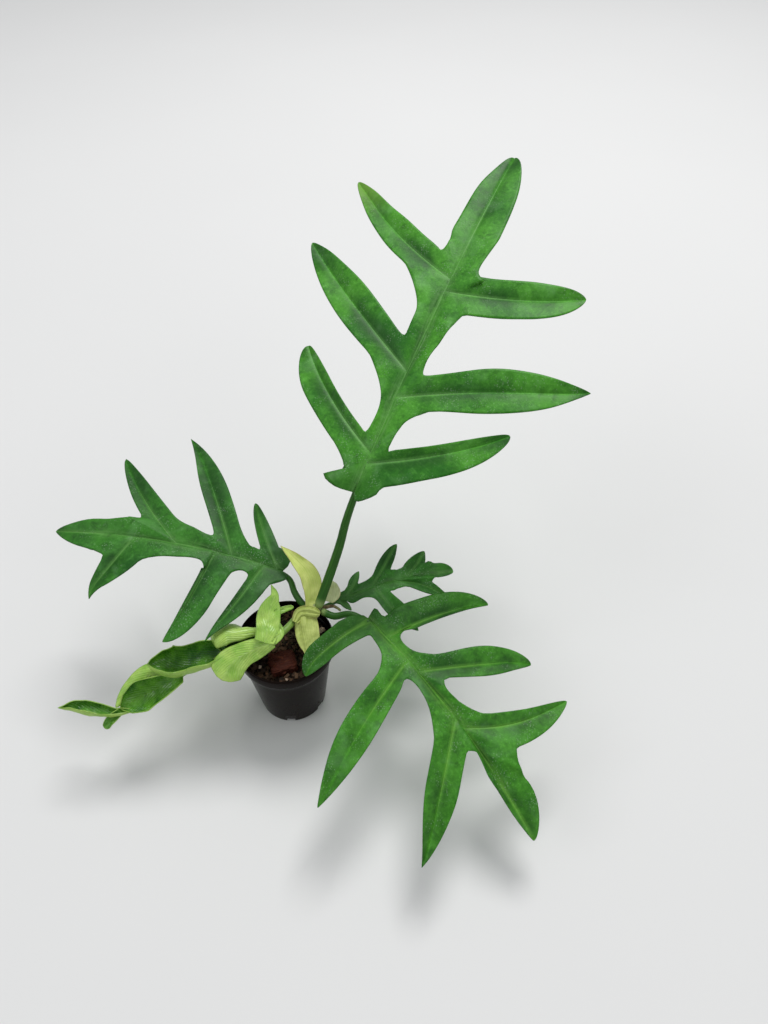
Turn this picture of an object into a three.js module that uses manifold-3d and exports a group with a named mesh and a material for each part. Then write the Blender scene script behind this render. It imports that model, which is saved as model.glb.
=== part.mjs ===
// Young philodendron with deeply cut leaves, potted in a round black nursery pot.
// Millimetres, +Z up. The origin is the middle of the pot's underside.
import * as THREE from 'three';
import * as BufferGeometryUtils from 'three/addons/utils/BufferGeometryUtils.js';
import { ConvexGeometry } from 'three/addons/geometries/ConvexGeometry.js';
import Module from 'manifold-3d';

const wasm = await Module();
wasm.setup();

// Pot
const POT_HEIGHT = 83;
const POT_FOOT_RADIUS = 28;
const POT_RIM_RADIUS = 39.5;
const POT_WALL = 1.2;
const POT_FLOOR = 1.6;
const RIM_BAND = 10;
const RIM_STEP = 1.2;
const POT_SEGMENTS = 40;
const FOOT_ROUND = 1.5;
const LIP_ROUND = 0.8;
const DRAIN_HOLES = 6;
const DRAIN_WIDTH = 7;
const DRAIN_HEIGHT = 5;
const DRAIN_CUT = 9;

// Potting mix
const MIX_LEVEL = 73;
const MIX_HEAP = 4;
const HEAP_CENTRE = [12, 12];
const HEAP_RADIUS = 16;
const MIX_BUMP = 1.1;
const MIX_RINGS = 6;
const CHIP_COUNT = 26;
const CHIP_SIZE = 7;
const CHIP_SHAPE = [1, 0.7, 0.45];
const CHIP_CORNERS = 14;
const CHIP_CORNER_REACH = 0.36;
const CHIP_CORNER_SPREAD = 0.14;
const CHIP_SMALLEST = 0.7;
const CHIP_SPREAD = 0.6;
const CHIP_REACH = 29;
const CHIP_TILT = 1.2;
const CHIP_LIFT = 0.4;
const GOLDEN_ANGLE = 2.4;
const CHUNK_SIZE = [24, 23, 9];
const CHUNK_PLACE = [-1, -17, 75.5];
const CHUNK_TURN = [-0.12, 0.1, 0.35];
const CHUNK_POCKET = 2.4;
const CHUNK_CLEARANCE = 17;
const STEM_CLEARANCE = 12;

// Gap between pieces that touch
const FIT_GAP = 0.35;

// Blades
const BLADE_THICKNESS = 0.8;
const FOLD = 0.16;
const RIB_STEP = 13;
const BLADE_ROWS = 2;
const FLANK_STEPS = [0.2, 0.38, 0.56, 0.72, 0.87, 1];
const FLANK_LEAD = 0.15;
const HOOK_START = 0.75;
const EDGE_TOLERANCE = 0.01;
const RIB_PLACES = [0.03, 0.14, 0.3, 0.5, 0.72, 0.93];
const RIB_THINNING = 0.75;
const RIB_SINK = 0.45;
const PETIOLE_TAPER = [1.1, 1, 0.92];
const RIB_TAPER = [0.95, 0.7, 0.5, 0.3];
const STALK_RINGS = 26;
const STALK_SIDES = 7;

// Rolled lobes and sheaths
const LOBE_THICKNESS = 0.9;
const SHEATH_THICKNESS = 0.8;
const STRAP_ROWS = 8;
const STRAP_COLUMNS = 6;

// A leaf is drawn flat in mm: x across the blade (left is negative), y along the midrib from
// the petiole to the tip. Each lobe has a vein from `root` on the midrib to `tip`, arched by
// `bow` towards the leaf's tip and its last quarter bent by `hook` more, with half-widths
// `upper` and `lower` on its two sides, widest at `belly` of its length and `neck` of that
// width where it leaves the blade. A small `blunt` makes a round tip, 1 a pointed one.
const lobe = (root, tip, bow, upper, lower, belly, neck, blunt, hook) => ({
  root, tip, bow, upper, lower, belly, neck, blunt, hook,
});

// The edge between two neighbouring lobes leaves the first at `leave` of its length, takes
// the turns given, and joins the next one at `join` of its length.
const margin = (leave, join, ...turns) => ({ leave, join, turns });

const UPPER_LEAF = {
  base: [57, 62, 190], heading: 62, rise: 38, sag: 22, roll: 0, droop: 0.06,
  length: 320, sway: 1.5, shift: -1,
  petiole: [[27.5, 18, 105], [34, 28, 120], [44.5, 44.5, 146], [51.5, 55, 170]],
  petioleRadius: 3.4, ribRadius: 2.4,
  left: [
    lobe(33, [-88, 98], -5, 7, 16.5, 0.65, 1, 0.5, 0.5),
    lobe(102, [-133, 191], -3, 16.5, 16, 0.45, 0.8, 0.7, 0.5),
    lobe(186, [-122, 265], -8.5, 14, 14.5, 0.25, 0.85, 0.65, -2),
  ],
  leftMargins: [
    margin(0.2, 0.2, [-14, -1], [-26, 5], [-14, 13]),
    margin(0.2, 0.2, [-9, 46], [-7, 54], [-9, 76]),
    margin(0.2, 0.25, [-12, 128], [-11, 137], [-14, 156]),
    margin(0.2, 0.2, [-16, 207], [-14, 215]),
  ],
  right: [
    lobe(24, [94, 80], -4.5, 7.5, 18, 0.45, 1.15, 0.5, 1),
    lobe(79, [136, 131], 2, 17, 18, 0.55, 0.75, 0.85, 2.5),
    lobe(175, [105, 204], -5.5, 14.5, 19, 0.6, 1.1, 0.6, 0.5),
  ],
  rightMargins: [
    margin(0.2, 0.2, [6, -6], [20, 4], [21, 10]),
    margin(0.2, 0.2, [14, 38], [14, 46], [18, 63]),
    margin(0.2, 0.2, [16, 102], [14, 108], [18, 133]),
    margin(0.2, 0.2, [29, 189], [21, 196]),
  ],
  apex: { root: 207, left: 16, right: 23, belly: 0.35, neck: 1.05, blunt: 0.55 },
};

const LEFT_LEAF = {
  base: [-3, 47, 113], heading: 172, rise: 16, sag: 22, roll: 12, droop: 0.08,
  length: 193, sway: 2.5, shift: -5.5,
  petiole: [[18, 19, 99], [11, 26, 102], [6.5, 33, 104.5], [2, 42, 109]],
  petioleRadius: 2.5, ribRadius: 1.9,
  left: [
    lobe(17, [-72, 45], -2.5, 4.5, 13.5, 0.2, 0.75, 1, -2),
    lobe(58, [-80, 73], -1.5, 2.5, 18, 0.5, 1.2, 0.55, 1),
    lobe(125, [-57, 146], -0.5, 9.5, 19.5, 0.2, 0.6, 0.95, -4.5),
  ],
  leftMargins: [
    margin(0.2, 0.2, [-6, -5], [-17, 8]),
    margin(0.2, 0.2, [-12, 26], [-10, 31], [-13, 37]),
    margin(0.2, 0.25, [-16, 61], [-10, 65], [-11, 82]),
    margin(0.45, 0.3, [-20, 149]),
  ],
  right: [
    lobe(5, [55, 39], 1, 7, 7.5, 0.25, 0.7, 0.55, -0.5),
    lobe(43, [111, 113], -2, 9.5, 12.5, 0.45, 0.95, 1, 2.5),
    lobe(90, [75, 163], 4, 9, 12.5, 0.2, 0.7, 0.65, 0),
  ],
  rightMargins: [
    margin(0.2, 0.25, [7, -4], [17, 2]),
    margin(0.3, 0.2, [12, 26], [13, 32]),
    margin(0.2, 0.2, [14, 63], [14, 69], [19, 87]),
    margin(0.35, 0.25, [12, 141]),
  ],
  apex: { root: 146, left: 16, right: 12, belly: 0.2, neck: 0.9, blunt: 0.8 },
};

const LOWER_LEAF = {
  base: [67, 9.6, 100], heading: -52, rise: -2, sag: 30, roll: -4, droop: 0.08,
  length: 206, sway: -3.5, shift: 2,
  petiole: [[30, 15.5, 101], [40, 12, 99], [54, 13, 100]],
  petioleRadius: 2.6, ribRadius: 2,
  left: [
    lobe(24, [-87, 47], -3.5, 3.5, 18, 0.45, 1.05, 0.6, 1.5),
    lobe(60, [-82, 105], -0.5, 10, 14, 0.55, 0.7, 0.65, 3),
    lobe(113, [-86, 145], 7, 18, 10, 0.2, 0.6, 0.7, 1.5),
  ],
  leftMargins: [
    margin(0.2, 0.2, [-9, -2], [-10, 8]),
    margin(0.2, 0.2, [-17, 27], [-9, 30], [-10, 45]),
    margin(0.2, 0.2, [-14, 77], [-11, 82], [-13, 98]),
    margin(0.4, 0.3, [-19, 160]),
  ],
  right: [
    lobe(3, [67, 5], -2.5, 9.5, 9.5, 0.7, 1.15, 0.55, 4),
    lobe(48, [114, 94], -3.5, 11.5, 14, 0.5, 0.75, 0.85, -1),
    lobe(104, [78, 171], 0, 12, 12.5, 0.45, 1.05, 0.95, -1.5),
  ],
  rightMargins: [
    margin(0.2, 0.25, [3, -4]),
    margin(0.2, 0.2, [9, 14], [9, 20], [12, 33]),
    margin(0.2, 0.2, [9, 59], [6, 64], [9, 86]),
    margin(0.2, 0.2, [6, 127], [1, 132], [4, 150]),
  ],
  apex: { root: 156, left: 18, right: 5, belly: 0.3, neck: 0.9, blunt: 0.7 },
};

const SMALL_LEAF = {
  base: [39, 27, 98], heading: 16, rise: 4, sag: 14, roll: -14, droop: 0.1,
  length: 106, sway: -4.5, shift: -3,
  petiole: [[28, 20.5, 96.5], [33.5, 24, 96.7]],
  petioleRadius: 1.7, ribRadius: 1.4,
  left: [
    lobe(13, [-21, 27], 0.5, 2.5, 5, 0.5, 0.7, 0.8, 0),
    lobe(34, [-39, 65], 0.5, 5.5, 6, 0.5, 0.65, 0.7, 1),
    lobe(65, [-27, 87], 1, 7, 9, 0.25, 0.5, 0.8, 0.5),
  ],
  leftMargins: [
    margin(0.2, 0.2, [-4, 1]),
    margin(0.5, 0.2, [-9, 27]),
    margin(0.45, 0.2, [-13, 57]),
    margin(0.6, 0.3, [-15, 86]),
  ],
  right: [
    lobe(5, [11, 12], 0, 2.5, 3, 0.45, 0.8, 0.8, 0),
    lobe(36, [41, 60], -3, 9, 7, 0.6, 0.75, 0.85, 0),
    lobe(55, [21, 94], 4, 5, 7.5, 0.5, 0.55, 1.1, 4),
  ],
  rightMargins: [
    margin(0.2, 0.2, [3, 2]),
    margin(0.2, 0.2, [6, 14], [4, 25]),
    margin(0.2, 0.2, [4, 49], [3, 54]),
    margin(0.6, 0.3, [1, 87]),
  ],
  apex: { root: 86, left: 8.5, right: 4.5, belly: 0.35, neck: 0.9, blunt: 0.55 },
};

// Stem
const STEM_PATH = [[12, 14, 61], [13, 14.5, 74], [18.5, 16, 88], [26.5, 18, 103]];
const STEM_RADII = [6.5, 6.3, 5.8, 5.4, 5.2, 4];
const STEM_RINGS = 12;
const STEM_SIDES = 14;

// New leaf, still rolled up: a midrib, lobes rolled lengthwise and lobes that have opened
const NEW_LEAF_RIB = [
  [14, 11, 92], [9, 12, 95], [2, 0, 98], [-6, -8, 97], [-16, -12, 93], [-32, -13, 90],
  [-52, -15, 80], [-68, -19, 77], [-82, -28, 73], [-96, -34, 67], [-111, -40, 60], [-132, -54, 59],
];
const NEW_LEAF_RIB_RADII = [2.7, 2.7, 2.6, 2.5, 2.2, 2, 1.8, 1.6, 1.4, 1.2, 1, 0.7];
const NEW_LEAF_RIB_RINGS = 22;
const NEW_LEAF_RIB_SIDES = 6;
const FRONT = [0.15, -0.54, 0.83];
const BACK = [-0.15, 0.54, -0.83];
const UP = [0.1, -0.1, 1];
const NEW_LEAF_LOBES = [
  { spine: [[-16, 4, 93], [-32, 4, 95], [-44, 5, 95], [-59, 2, 92]],
    widths: [9, 17, 26, 24], curl: 284, face: [0.05, -0.97, -0.2] },
  { spine: [[-44, -12, 84], [-54, -15, 81], [-68, -19, 79], [-87, -22, 76], [-106, -23, 84]],
    widths: [17, 21, 22, 23, 11], curl: 225, face: UP },
  { spine: [[-78, -31, 79], [-95, -35, 71], [-109, -39, 65], [-126, -50, 63]],
    widths: [7, 15, 19, 8], curl: 180, face: FRONT },
  { spine: [[-115, -50, 61], [-130, -54, 60], [-148, -52, 60], [-162, -50, 62], [-173, -52, 68]],
    widths: [1, 7, 10, 9, 1], curl: 225, face: [0.1, 0.2, 1] },
  { spine: [[-126, -52, 62], [-133, -59, 60], [-136, -64, 57]], widths: [3, 4, 3], curl: 100, face: FRONT },
  { spine: [[-13, -15, 102], [-11, -5, 105], [-11, 5, 108], [-9, 15, 112], [-7, 21, 116], [-10, 28, 120]],
    widths: [8, 9, 9.5, 8, 3.5, 0.6], curl: 40, face: FRONT },
  { spine: [[-4, 3, 105], [-1, -7, 103], [-7, -16, 101]], widths: [1, 3, 2], curl: 60, face: FRONT },
  { spine: [[-6, 9, 108], [2, 13, 108], [8, 14, 109]], widths: [3, 2.5, 1.5], curl: 60, face: FRONT },
  { spine: [[-6, -14, 101], [-19, -17, 97], [-30, -21, 94], [-39, -28, 91], [-45, -38, 85]],
    widths: [4, 8, 10, 13, 12], curl: 45, face: BACK },
  { spine: [[-90, -23, 75], [-106, -27, 74], [-120, -36, 69], [-130, -49, 63]],
    widths: [6, 10, 7, 2], curl: 90, face: BACK },
];

// Sheaths round the crown. The collar is the folded top of the lower one.
const UPPER_SHEATH = { spine: [[20, 20, 104], [21, 31, 110], [17, 41, 118], [8, 49, 125], [-4, 58, 132]],
  widths: [4.5, 8.5, 9, 5, 1], curl: 90, face: [0.5, -0.5, 0.7] };
const LOWER_SHEATH = { spine: [[17, 10, 102], [19, -2, 98], [22, -15, 94], [20, -25, 89]],
  widths: [9, 10, 7.5, 0], curl: 60, face: [0, 0.5, -1] };
const COLLAR = { spine: [[9, 5, 101], [13, 12, 103], [21, 12, 105], [29, 11, 104]],
  widths: [3, 6, 6, 4], curl: 110, face: [0, 0.5, -1] };
const BACK_SHEATH = { spine: [[37, 22, 106], [40, 28, 110], [40, 35, 113]],
  widths: [3, 5.5, 4.5, 1], curl: 90, face: [0.3, -0.5, 0.7] };

const AERIAL_ROOT = [[29, 19, 100], [35, 20, 101], [40, 20, 101], [45, 17, 100]];
const AERIAL_ROOT_RADII = [1.6, 1.4, 1.2, 0.8];
const AERIAL_ROOT_RINGS = 8;
const AERIAL_ROOT_SIDES = 7;

const LEAF_FACE = { roughness: 0.42, metalness: 0 };
const materials = {
  upperLeaf: new THREE.MeshStandardMaterial({ color: 0x3f8a3c, ...LEAF_FACE }),
  leftLeaf: new THREE.MeshStandardMaterial({ color: 0x2f7240, ...LEAF_FACE }),
  lowerLeaf: new THREE.MeshStandardMaterial({ color: 0x37803b, ...LEAF_FACE }),
  smallLeaf: new THREE.MeshStandardMaterial({ color: 0x245f3c, ...LEAF_FACE }),
  newLeaf: new THREE.MeshStandardMaterial({ color: 0x6fae3e, ...LEAF_FACE }),
  stem: new THREE.MeshStandardMaterial({ color: 0x9db56a, roughness: 0.55, metalness: 0 }),
  sheath: new THREE.MeshStandardMaterial({ color: 0xb9cf7c, roughness: 0.5, metalness: 0 }),
  backSheath: new THREE.MeshStandardMaterial({ color: 0xa9bd78, roughness: 0.55, metalness: 0 }),
  root: new THREE.MeshStandardMaterial({ color: 0x7d6a44, roughness: 0.7, metalness: 0 }),
  mix: new THREE.MeshStandardMaterial({ color: 0x2e2019, roughness: 0.9, metalness: 0 }),
  bark: new THREE.MeshStandardMaterial({ color: 0x5b3223, roughness: 0.85, metalness: 0 }),
  pot: new THREE.MeshStandardMaterial({ color: 0x17120f, roughness: 0.25, metalness: 0 }),
};

const seeded = (seed) => {
  let state = seed;
  return () => {
    state = (state * 1664525 + 1013904223) % 4294967296;
    return state / 4294967296;
  };
};

const vec = (p) => new THREE.Vector3(p[0], p[1], p[2]);
const lerp = THREE.MathUtils.lerp;
const radians = THREE.MathUtils.degToRad;

// A sheet of triangles whose points are shared wherever they coincide.
class Sheet {
  constructor() {
    this.points = [];
    this.faces = [];
    this.lookup = new Map();
  }

  add(point, key = point) {
    const name = key.toArray().map((value) => value.toFixed(3)).join(' ');
    if (!this.lookup.has(name)) {
      this.lookup.set(name, this.points.length);
      this.points.push(point);
    }
    return this.lookup.get(name);
  }

  face(a, b, c) {
    if (a !== b && b !== c && c !== a) this.faces.push([a, b, c]);
  }

  quad(a, b, c, d) {
    this.face(a, b, c);
    this.face(a, c, d);
  }

  normals() {
    const normals = this.points.map(() => new THREE.Vector3());
    for (const corners of this.faces) {
      const [a, b, c] = corners.map((index) => this.points[index]);
      const normal = b.clone().sub(a).cross(c.clone().sub(a));
      corners.forEach((index) => normals[index].add(normal));
    }
    return normals.map((normal) => normal.normalize());
  }

  // The sheet given a thickness: the same triangles on both faces, and a wall round the edge.
  thicken(thickness) {
    const normals = this.normals();
    const count = this.points.length;
    const shifted = (distance) => this.points.map((p, i) => p.clone().addScaledVector(normals[i], distance));
    const positions = [...shifted(thickness / 2), ...shifted(-thickness / 2)].flatMap((p) => p.toArray());
    const index = [];
    const edges = new Map();
    for (const [a, b, c] of this.faces) {
      index.push(a, b, c, count + a, count + c, count + b);
      for (const [from, to] of [[a, b], [b, c], [c, a]]) {
        if (edges.has(`${to} ${from}`)) edges.delete(`${to} ${from}`);
        else edges.set(`${from} ${to}`, [from, to]);
      }
    }
    for (const [from, to] of edges.values()) {
      index.push(from, count + from, count + to, from, count + to, to);
    }
    return closedGeometry(positions, index);
  }
}

function closedGeometry(positions, index) {
  const geometry = new THREE.BufferGeometry();
  geometry.setAttribute('position', new THREE.Float32BufferAttribute(positions, 3));
  geometry.setIndex(index);
  return geometry;
}

function toSolid(source) {
  const bare = source.clone();
  bare.deleteAttribute('normal');
  bare.deleteAttribute('uv');
  const merged = BufferGeometryUtils.mergeVertices(bare, 1e-4);
  return new wasm.Manifold(new wasm.Mesh({
    numProp: 3,
    vertProperties: new Float32Array(merged.attributes.position.array),
    triVerts: new Uint32Array(merged.index.array),
  }));
}

function toGeometry(solid) {
  const mesh = solid.getMesh();
  const geometry = closedGeometry(Array.from(mesh.vertProperties), Array.from(mesh.triVerts));
  geometry.computeVertexNormals();
  return geometry;
}

// A closed round bar along a smooth curve. `radii` are spread evenly over its length, and the
// whole bar is made fatter by `grow`.
function bar(points, radii, rings, sides, grow = 0) {
  const curve = new THREE.CatmullRomCurve3(points.map(vec), false, 'catmullrom', 0.5);
  const frames = curve.computeFrenetFrames(rings, false);
  const positions = [];
  const index = [];
  for (let i = 0; i <= rings; i += 1) {
    const centre = curve.getPointAt(i / rings);
    const place = (i / rings) * (radii.length - 1);
    const step = Math.min(Math.floor(place), radii.length - 2);
    const radius = lerp(radii[step], radii[step + 1], place - step) + grow;
    for (let j = 0; j < sides; j += 1) {
      const angle = (j / sides) * Math.PI * 2;
      const rim = centre.clone()
        .addScaledVector(frames.normals[i], Math.cos(angle) * radius)
        .addScaledVector(frames.binormals[i], Math.sin(angle) * radius);
      positions.push(...rim.toArray());
      if (i < rings) {
        const here = i * sides + j;
        const next = i * sides + ((j + 1) % sides);
        index.push(here, next, next + sides, here, next + sides, here + sides);
      }
    }
  }
  const start = positions.length / 3;
  positions.push(...curve.getPointAt(0).addScaledVector(frames.tangents[0], -grow).toArray());
  positions.push(...curve.getPointAt(1).addScaledVector(frames.tangents[rings], grow).toArray());
  for (let j = 0; j < sides; j += 1) {
    const next = (j + 1) % sides;
    index.push(start, next, j, start + 1, rings * sides + j, rings * sides + next);
  }
  return closedGeometry(positions, index);
}

// The midrib's sideways place at y, and a lobe's vein and edges in flat coordinates
const ribX = (leaf, y) => leaf.shift * (y / leaf.length) ** 2
  + leaf.sway * Math.sin((Math.PI * y) / leaf.length);

function veinPoint(leaf, part, t) {
  if (!part.tip) {
    const y = lerp(part.root, leaf.length, t);
    const dx = ribX(leaf, y + 1) - ribX(leaf, y - 1);
    return { point: new THREE.Vector2(ribX(leaf, y), y), along: new THREE.Vector2(dx, 2).normalize() };
  }
  const root = new THREE.Vector2(ribX(leaf, part.root), part.root);
  const tip = new THREE.Vector2(...part.tip);
  const reach = tip.clone().sub(root);
  const across = new THREE.Vector2(-reach.y, reach.x).normalize();
  if (across.y < 0) across.negate();
  const middle = root.clone().lerp(tip, 0.5).addScaledVector(across, part.bow * 2);
  const curve = new THREE.QuadraticBezierCurve(root, middle, tip);
  const bend = Math.max(0, (t - HOOK_START) / (1 - HOOK_START));
  const swing = (part.hook * bend) / (1 - HOOK_START);
  const slope = tip.clone().sub(middle).multiplyScalar(t);
  slope.addScaledVector(middle.clone().sub(root), 1 - t).addScaledVector(across, swing);
  return {
    point: curve.getPoint(t).addScaledVector(across, part.hook * bend ** 2),
    along: slope.normalize(),
    across,
  };
}

function halfWidth(part, width, t) {
  if (t < part.belly) {
    const swell = 0.5 - 0.5 * Math.cos((Math.PI * t) / part.belly);
    return width * lerp(part.neck, 1, swell);
  }
  const taper = Math.cos((Math.PI / 2) * ((t - part.belly) / (1 - part.belly)));
  return width * Math.max(0, taper) ** part.blunt;
}

// Edge point of a lobe. `way` is 1 on the side of the leaf's tip, -1 on the side of its base;
// for the apex, which has no side of its own, it is the side of the blade.
function flankPoint(leaf, part, way, t) {
  const vein = veinPoint(leaf, part, t);
  const { point, along } = vein;
  const across = new THREE.Vector2(-along.y, along.x);
  if (part.tip) {
    if (across.dot(vein.across) < 0) across.negate();
    return point.addScaledVector(across, way * halfWidth(part, way > 0 ? part.upper : part.lower, t));
  }
  return point.addScaledVector(across, -way * halfWidth(part, way > 0 ? part.right : part.left, t));
}

function ribStops(leaf) {
  const fixed = [0, leaf.apex.root, ...leaf.left.map((l) => l.root), ...leaf.right.map((l) => l.root)];
  fixed.sort((a, b) => a - b);
  const stops = [];
  fixed.forEach((y, i) => {
    if (i > 0) {
      const pieces = Math.ceil((y - fixed[i - 1]) / RIB_STEP);
      for (let k = 1; k < pieces; k += 1) stops.push(lerp(fixed[i - 1], y, k / pieces));
    }
    stops.push(y);
  });
  return stops;
}

// One region of a blade lies between two neighbouring veins. Its inner chain runs down one vein,
// along the midrib and up the next vein; its outer chain follows the edge in step with it.
function regionChains(leaf, side, number) {
  const lobes = side > 0 ? leaf.right : leaf.left;
  const { leave, join, turns } = (side > 0 ? leaf.rightMargins : leaf.leftMargins)[number];
  const below = number > 0 ? lobes[number - 1] : null;
  const above = number < lobes.length ? lobes[number] : leaf.apex;
  const aboveWay = above.tip ? -1 : side;
  const fromY = below ? below.root : 0;
  const inner = [];
  const outer = [];
  const guide = [];
  if (below) {
    for (const t of [...FLANK_STEPS].reverse()) {
      inner.push(veinPoint(leaf, below, t).point);
      outer.push(t > leave + EDGE_TOLERANCE ? flankPoint(leaf, below, 1, t) : null);
    }
    guide.push(flankPoint(leaf, below, 1, leave + FLANK_LEAD), flankPoint(leaf, below, 1, leave));
  } else {
    guide.push(new THREE.Vector2(-side * 6, 0), new THREE.Vector2(0, 0));
  }
  guide.push(...turns.map((p) => new THREE.Vector2(...p)));
  guide.push(flankPoint(leaf, above, aboveWay, join));
  guide.push(flankPoint(leaf, above, aboveWay, join + FLANK_LEAD));
  for (const y of ribStops(leaf).filter((stop) => stop >= fromY && stop <= above.root)) {
    inner.push(new THREE.Vector2(ribX(leaf, y), y));
    outer.push(null);
  }
  for (const t of FLANK_STEPS) {
    inner.push(veinPoint(leaf, above, t).point);
    outer.push(t > join + EDGE_TOLERANCE ? flankPoint(leaf, above, aboveWay, t) : null);
  }
  const spline = new THREE.CatmullRomCurve3(guide.map((p) => new THREE.Vector3(p.x, p.y, 0)));
  const spans = guide.length - 1;
  const open = outer.map((p, i) => (p ? -1 : i)).filter((i) => i >= 0);
  open.forEach((i, k) => {
    const share = below ? (k + 1) / (open.length + 1) : k / open.length;
    const p = spline.getPoint(lerp(1, spans - 1, share) / spans);
    outer[i] = new THREE.Vector2(p.x, p.y);
  });
  return { inner, outer };
}

// From flat blade coordinates to space: the midrib bends down in an arc from the petiole's end.
function bladePlacer(leaf) {
  const heading = radians(leaf.heading);
  const rise = radians(leaf.rise);
  const roll = radians(leaf.roll);
  const along = new THREE.Vector3(
    Math.cos(heading) * Math.cos(rise), Math.sin(heading) * Math.cos(rise), Math.sin(rise));
  const level = new THREE.Vector3(Math.sin(heading), -Math.cos(heading), 0);
  const up = level.clone().cross(along);
  const across = level.multiplyScalar(Math.cos(roll)).addScaledVector(up, Math.sin(roll));
  const normal = across.clone().cross(along);
  const radius = leaf.length / radians(leaf.sag);
  return (x, y, z) => {
    const angle = y / radius;
    const height = z - (leaf.droop * x * x) / 100;
    return vec(leaf.base)
      .addScaledVector(along, radius * Math.sin(angle) + height * Math.sin(angle))
      .addScaledVector(normal, radius * (Math.cos(angle) - 1) + height * Math.cos(angle))
      .addScaledVector(across, x);
  };
}

function bladeGeometry(leaf) {
  const place = bladePlacer(leaf);
  const sheet = new Sheet();
  for (const side of [-1, 1]) {
    const lobes = side > 0 ? leaf.right : leaf.left;
    for (let number = 0; number <= lobes.length; number += 1) {
      const { inner, outer } = regionChains(leaf, side, number);
      const rows = inner.map((from, i) => {
        const reach = from.distanceTo(outer[i]);
        const row = [];
        for (let k = 0; k <= BLADE_ROWS; k += 1) {
          const q = k / BLADE_ROWS;
          const flat = from.clone().lerp(outer[i], q);
          const point = place(flat.x, flat.y, FOLD * q * reach);
          row.push(sheet.add(point, new THREE.Vector3(flat.x, flat.y, 0)));
        }
        return row;
      });
      for (let i = 0; i + 1 < rows.length; i += 1) {
        for (let k = 0; k < BLADE_ROWS; k += 1) {
          const corners = [rows[i][k], rows[i + 1][k], rows[i + 1][k + 1], rows[i][k + 1]];
          if (side > 0) corners.reverse();
          sheet.quad(...corners);
        }
      }
    }
  }
  return sheet.thicken(BLADE_THICKNESS);
}

function stalkGeometry(leaf, grow = 0) {
  const place = bladePlacer(leaf);
  const ribEnds = RIB_PLACES.map((share) => {
    const y = share * leaf.length;
    const ribRadius = leaf.ribRadius * (1 - RIB_THINNING * share);
    return place(ribX(leaf, y), y, -RIB_SINK * ribRadius).toArray();
  });
  const petioleRadii = PETIOLE_TAPER.map((share) => share * leaf.petioleRadius);
  const ribRadii = RIB_TAPER.map((share) => share * leaf.ribRadius);
  const radii = [...petioleRadii, ...ribRadii];
  return bar([...leaf.petiole, ...ribEnds], radii, STALK_RINGS, STALK_SIDES, grow);
}

// A curled strap: a spine with half-widths along it, bent across by `curl` degrees so that its
// hollow side faces `face`.
function strapGeometry({ spine, widths, curl, face }, thickness) {
  const curve = new THREE.CatmullRomCurve3(spine.map(vec), false, 'catmullrom', 0.5);
  const sheet = new Sheet();
  const grid = [];
  for (let i = 0; i <= STRAP_ROWS; i += 1) {
    const share = i / STRAP_ROWS;
    const centre = curve.getPointAt(share);
    const tangent = curve.getTangentAt(share);
    const facing = vec(face).addScaledVector(tangent, -vec(face).dot(tangent)).normalize();
    const across = tangent.clone().cross(facing);
    const place = share * (widths.length - 1);
    const step = Math.min(Math.floor(place), widths.length - 2);
    const half = lerp(widths[step], widths[step + 1], place - step);
    const radius = half / radians(curl / 2);
    const row = [];
    for (let j = 0; j <= STRAP_COLUMNS; j += 1) {
      const angle = radians(curl) * (j / STRAP_COLUMNS - 0.5);
      const point = centre.clone()
        .addScaledVector(across, radius * Math.sin(angle))
        .addScaledVector(facing, radius * (1 - Math.cos(angle)));
      row.push(sheet.add(point));
    }
    grid.push(row);
  }
  for (let i = 0; i < STRAP_ROWS; i += 1) {
    for (let j = 0; j < STRAP_COLUMNS; j += 1) {
      sheet.quad(grid[i][j], grid[i + 1][j], grid[i + 1][j + 1], grid[i][j + 1]);
    }
  }
  return sheet.thicken(thickness);
}

const wallRadius = (z) => lerp(POT_FOOT_RADIUS, POT_RIM_RADIUS - RIM_STEP, z / POT_HEIGHT);

function makePot() {
  const band = POT_HEIGHT - RIM_BAND;
  const neck = band - RIM_STEP;
  const lip = POT_HEIGHT - LIP_ROUND;
  const profile = [
    [0, 0], [POT_FOOT_RADIUS - FOOT_ROUND, 0], [wallRadius(FOOT_ROUND), FOOT_ROUND],
    [wallRadius(neck), neck],
    [POT_RIM_RADIUS - LIP_ROUND, band], [POT_RIM_RADIUS, lip], [POT_RIM_RADIUS - LIP_ROUND, POT_HEIGHT],
    [POT_RIM_RADIUS - LIP_ROUND - POT_WALL, lip], [wallRadius(band) - POT_WALL, neck],
    [wallRadius(POT_FLOOR) - POT_WALL, POT_FLOOR], [0, POT_FLOOR],
  ];
  const shell = new THREE.LatheGeometry(profile.map((p) => new THREE.Vector2(...p)), POT_SEGMENTS);
  shell.rotateX(Math.PI / 2);
  let solid = toSolid(shell);
  for (let i = 0; i < DRAIN_HOLES; i += 1) {
    const slot = new THREE.BoxGeometry(DRAIN_CUT, DRAIN_WIDTH, 2 * DRAIN_HEIGHT);
    slot.translate(POT_FOOT_RADIUS - 2, 0, 0);
    slot.rotateZ(((i + 0.5) / DRAIN_HOLES) * Math.PI * 2);
    solid = solid.subtract(toSolid(slot));
  }
  return solid;
}

function mixHeight(x, y) {
  const fromHeap = Math.hypot(x - HEAP_CENTRE[0], y - HEAP_CENTRE[1]);
  const heap = MIX_HEAP * Math.exp(-((fromHeap / HEAP_RADIUS) ** 2));
  const bump = Math.sin(x * 0.55 + 1) * Math.cos(y * 0.6 - x * 0.2) + 0.6 * Math.sin(y * 1.1 + x * 0.7);
  return MIX_LEVEL + heap + MIX_BUMP * bump;
}

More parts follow.
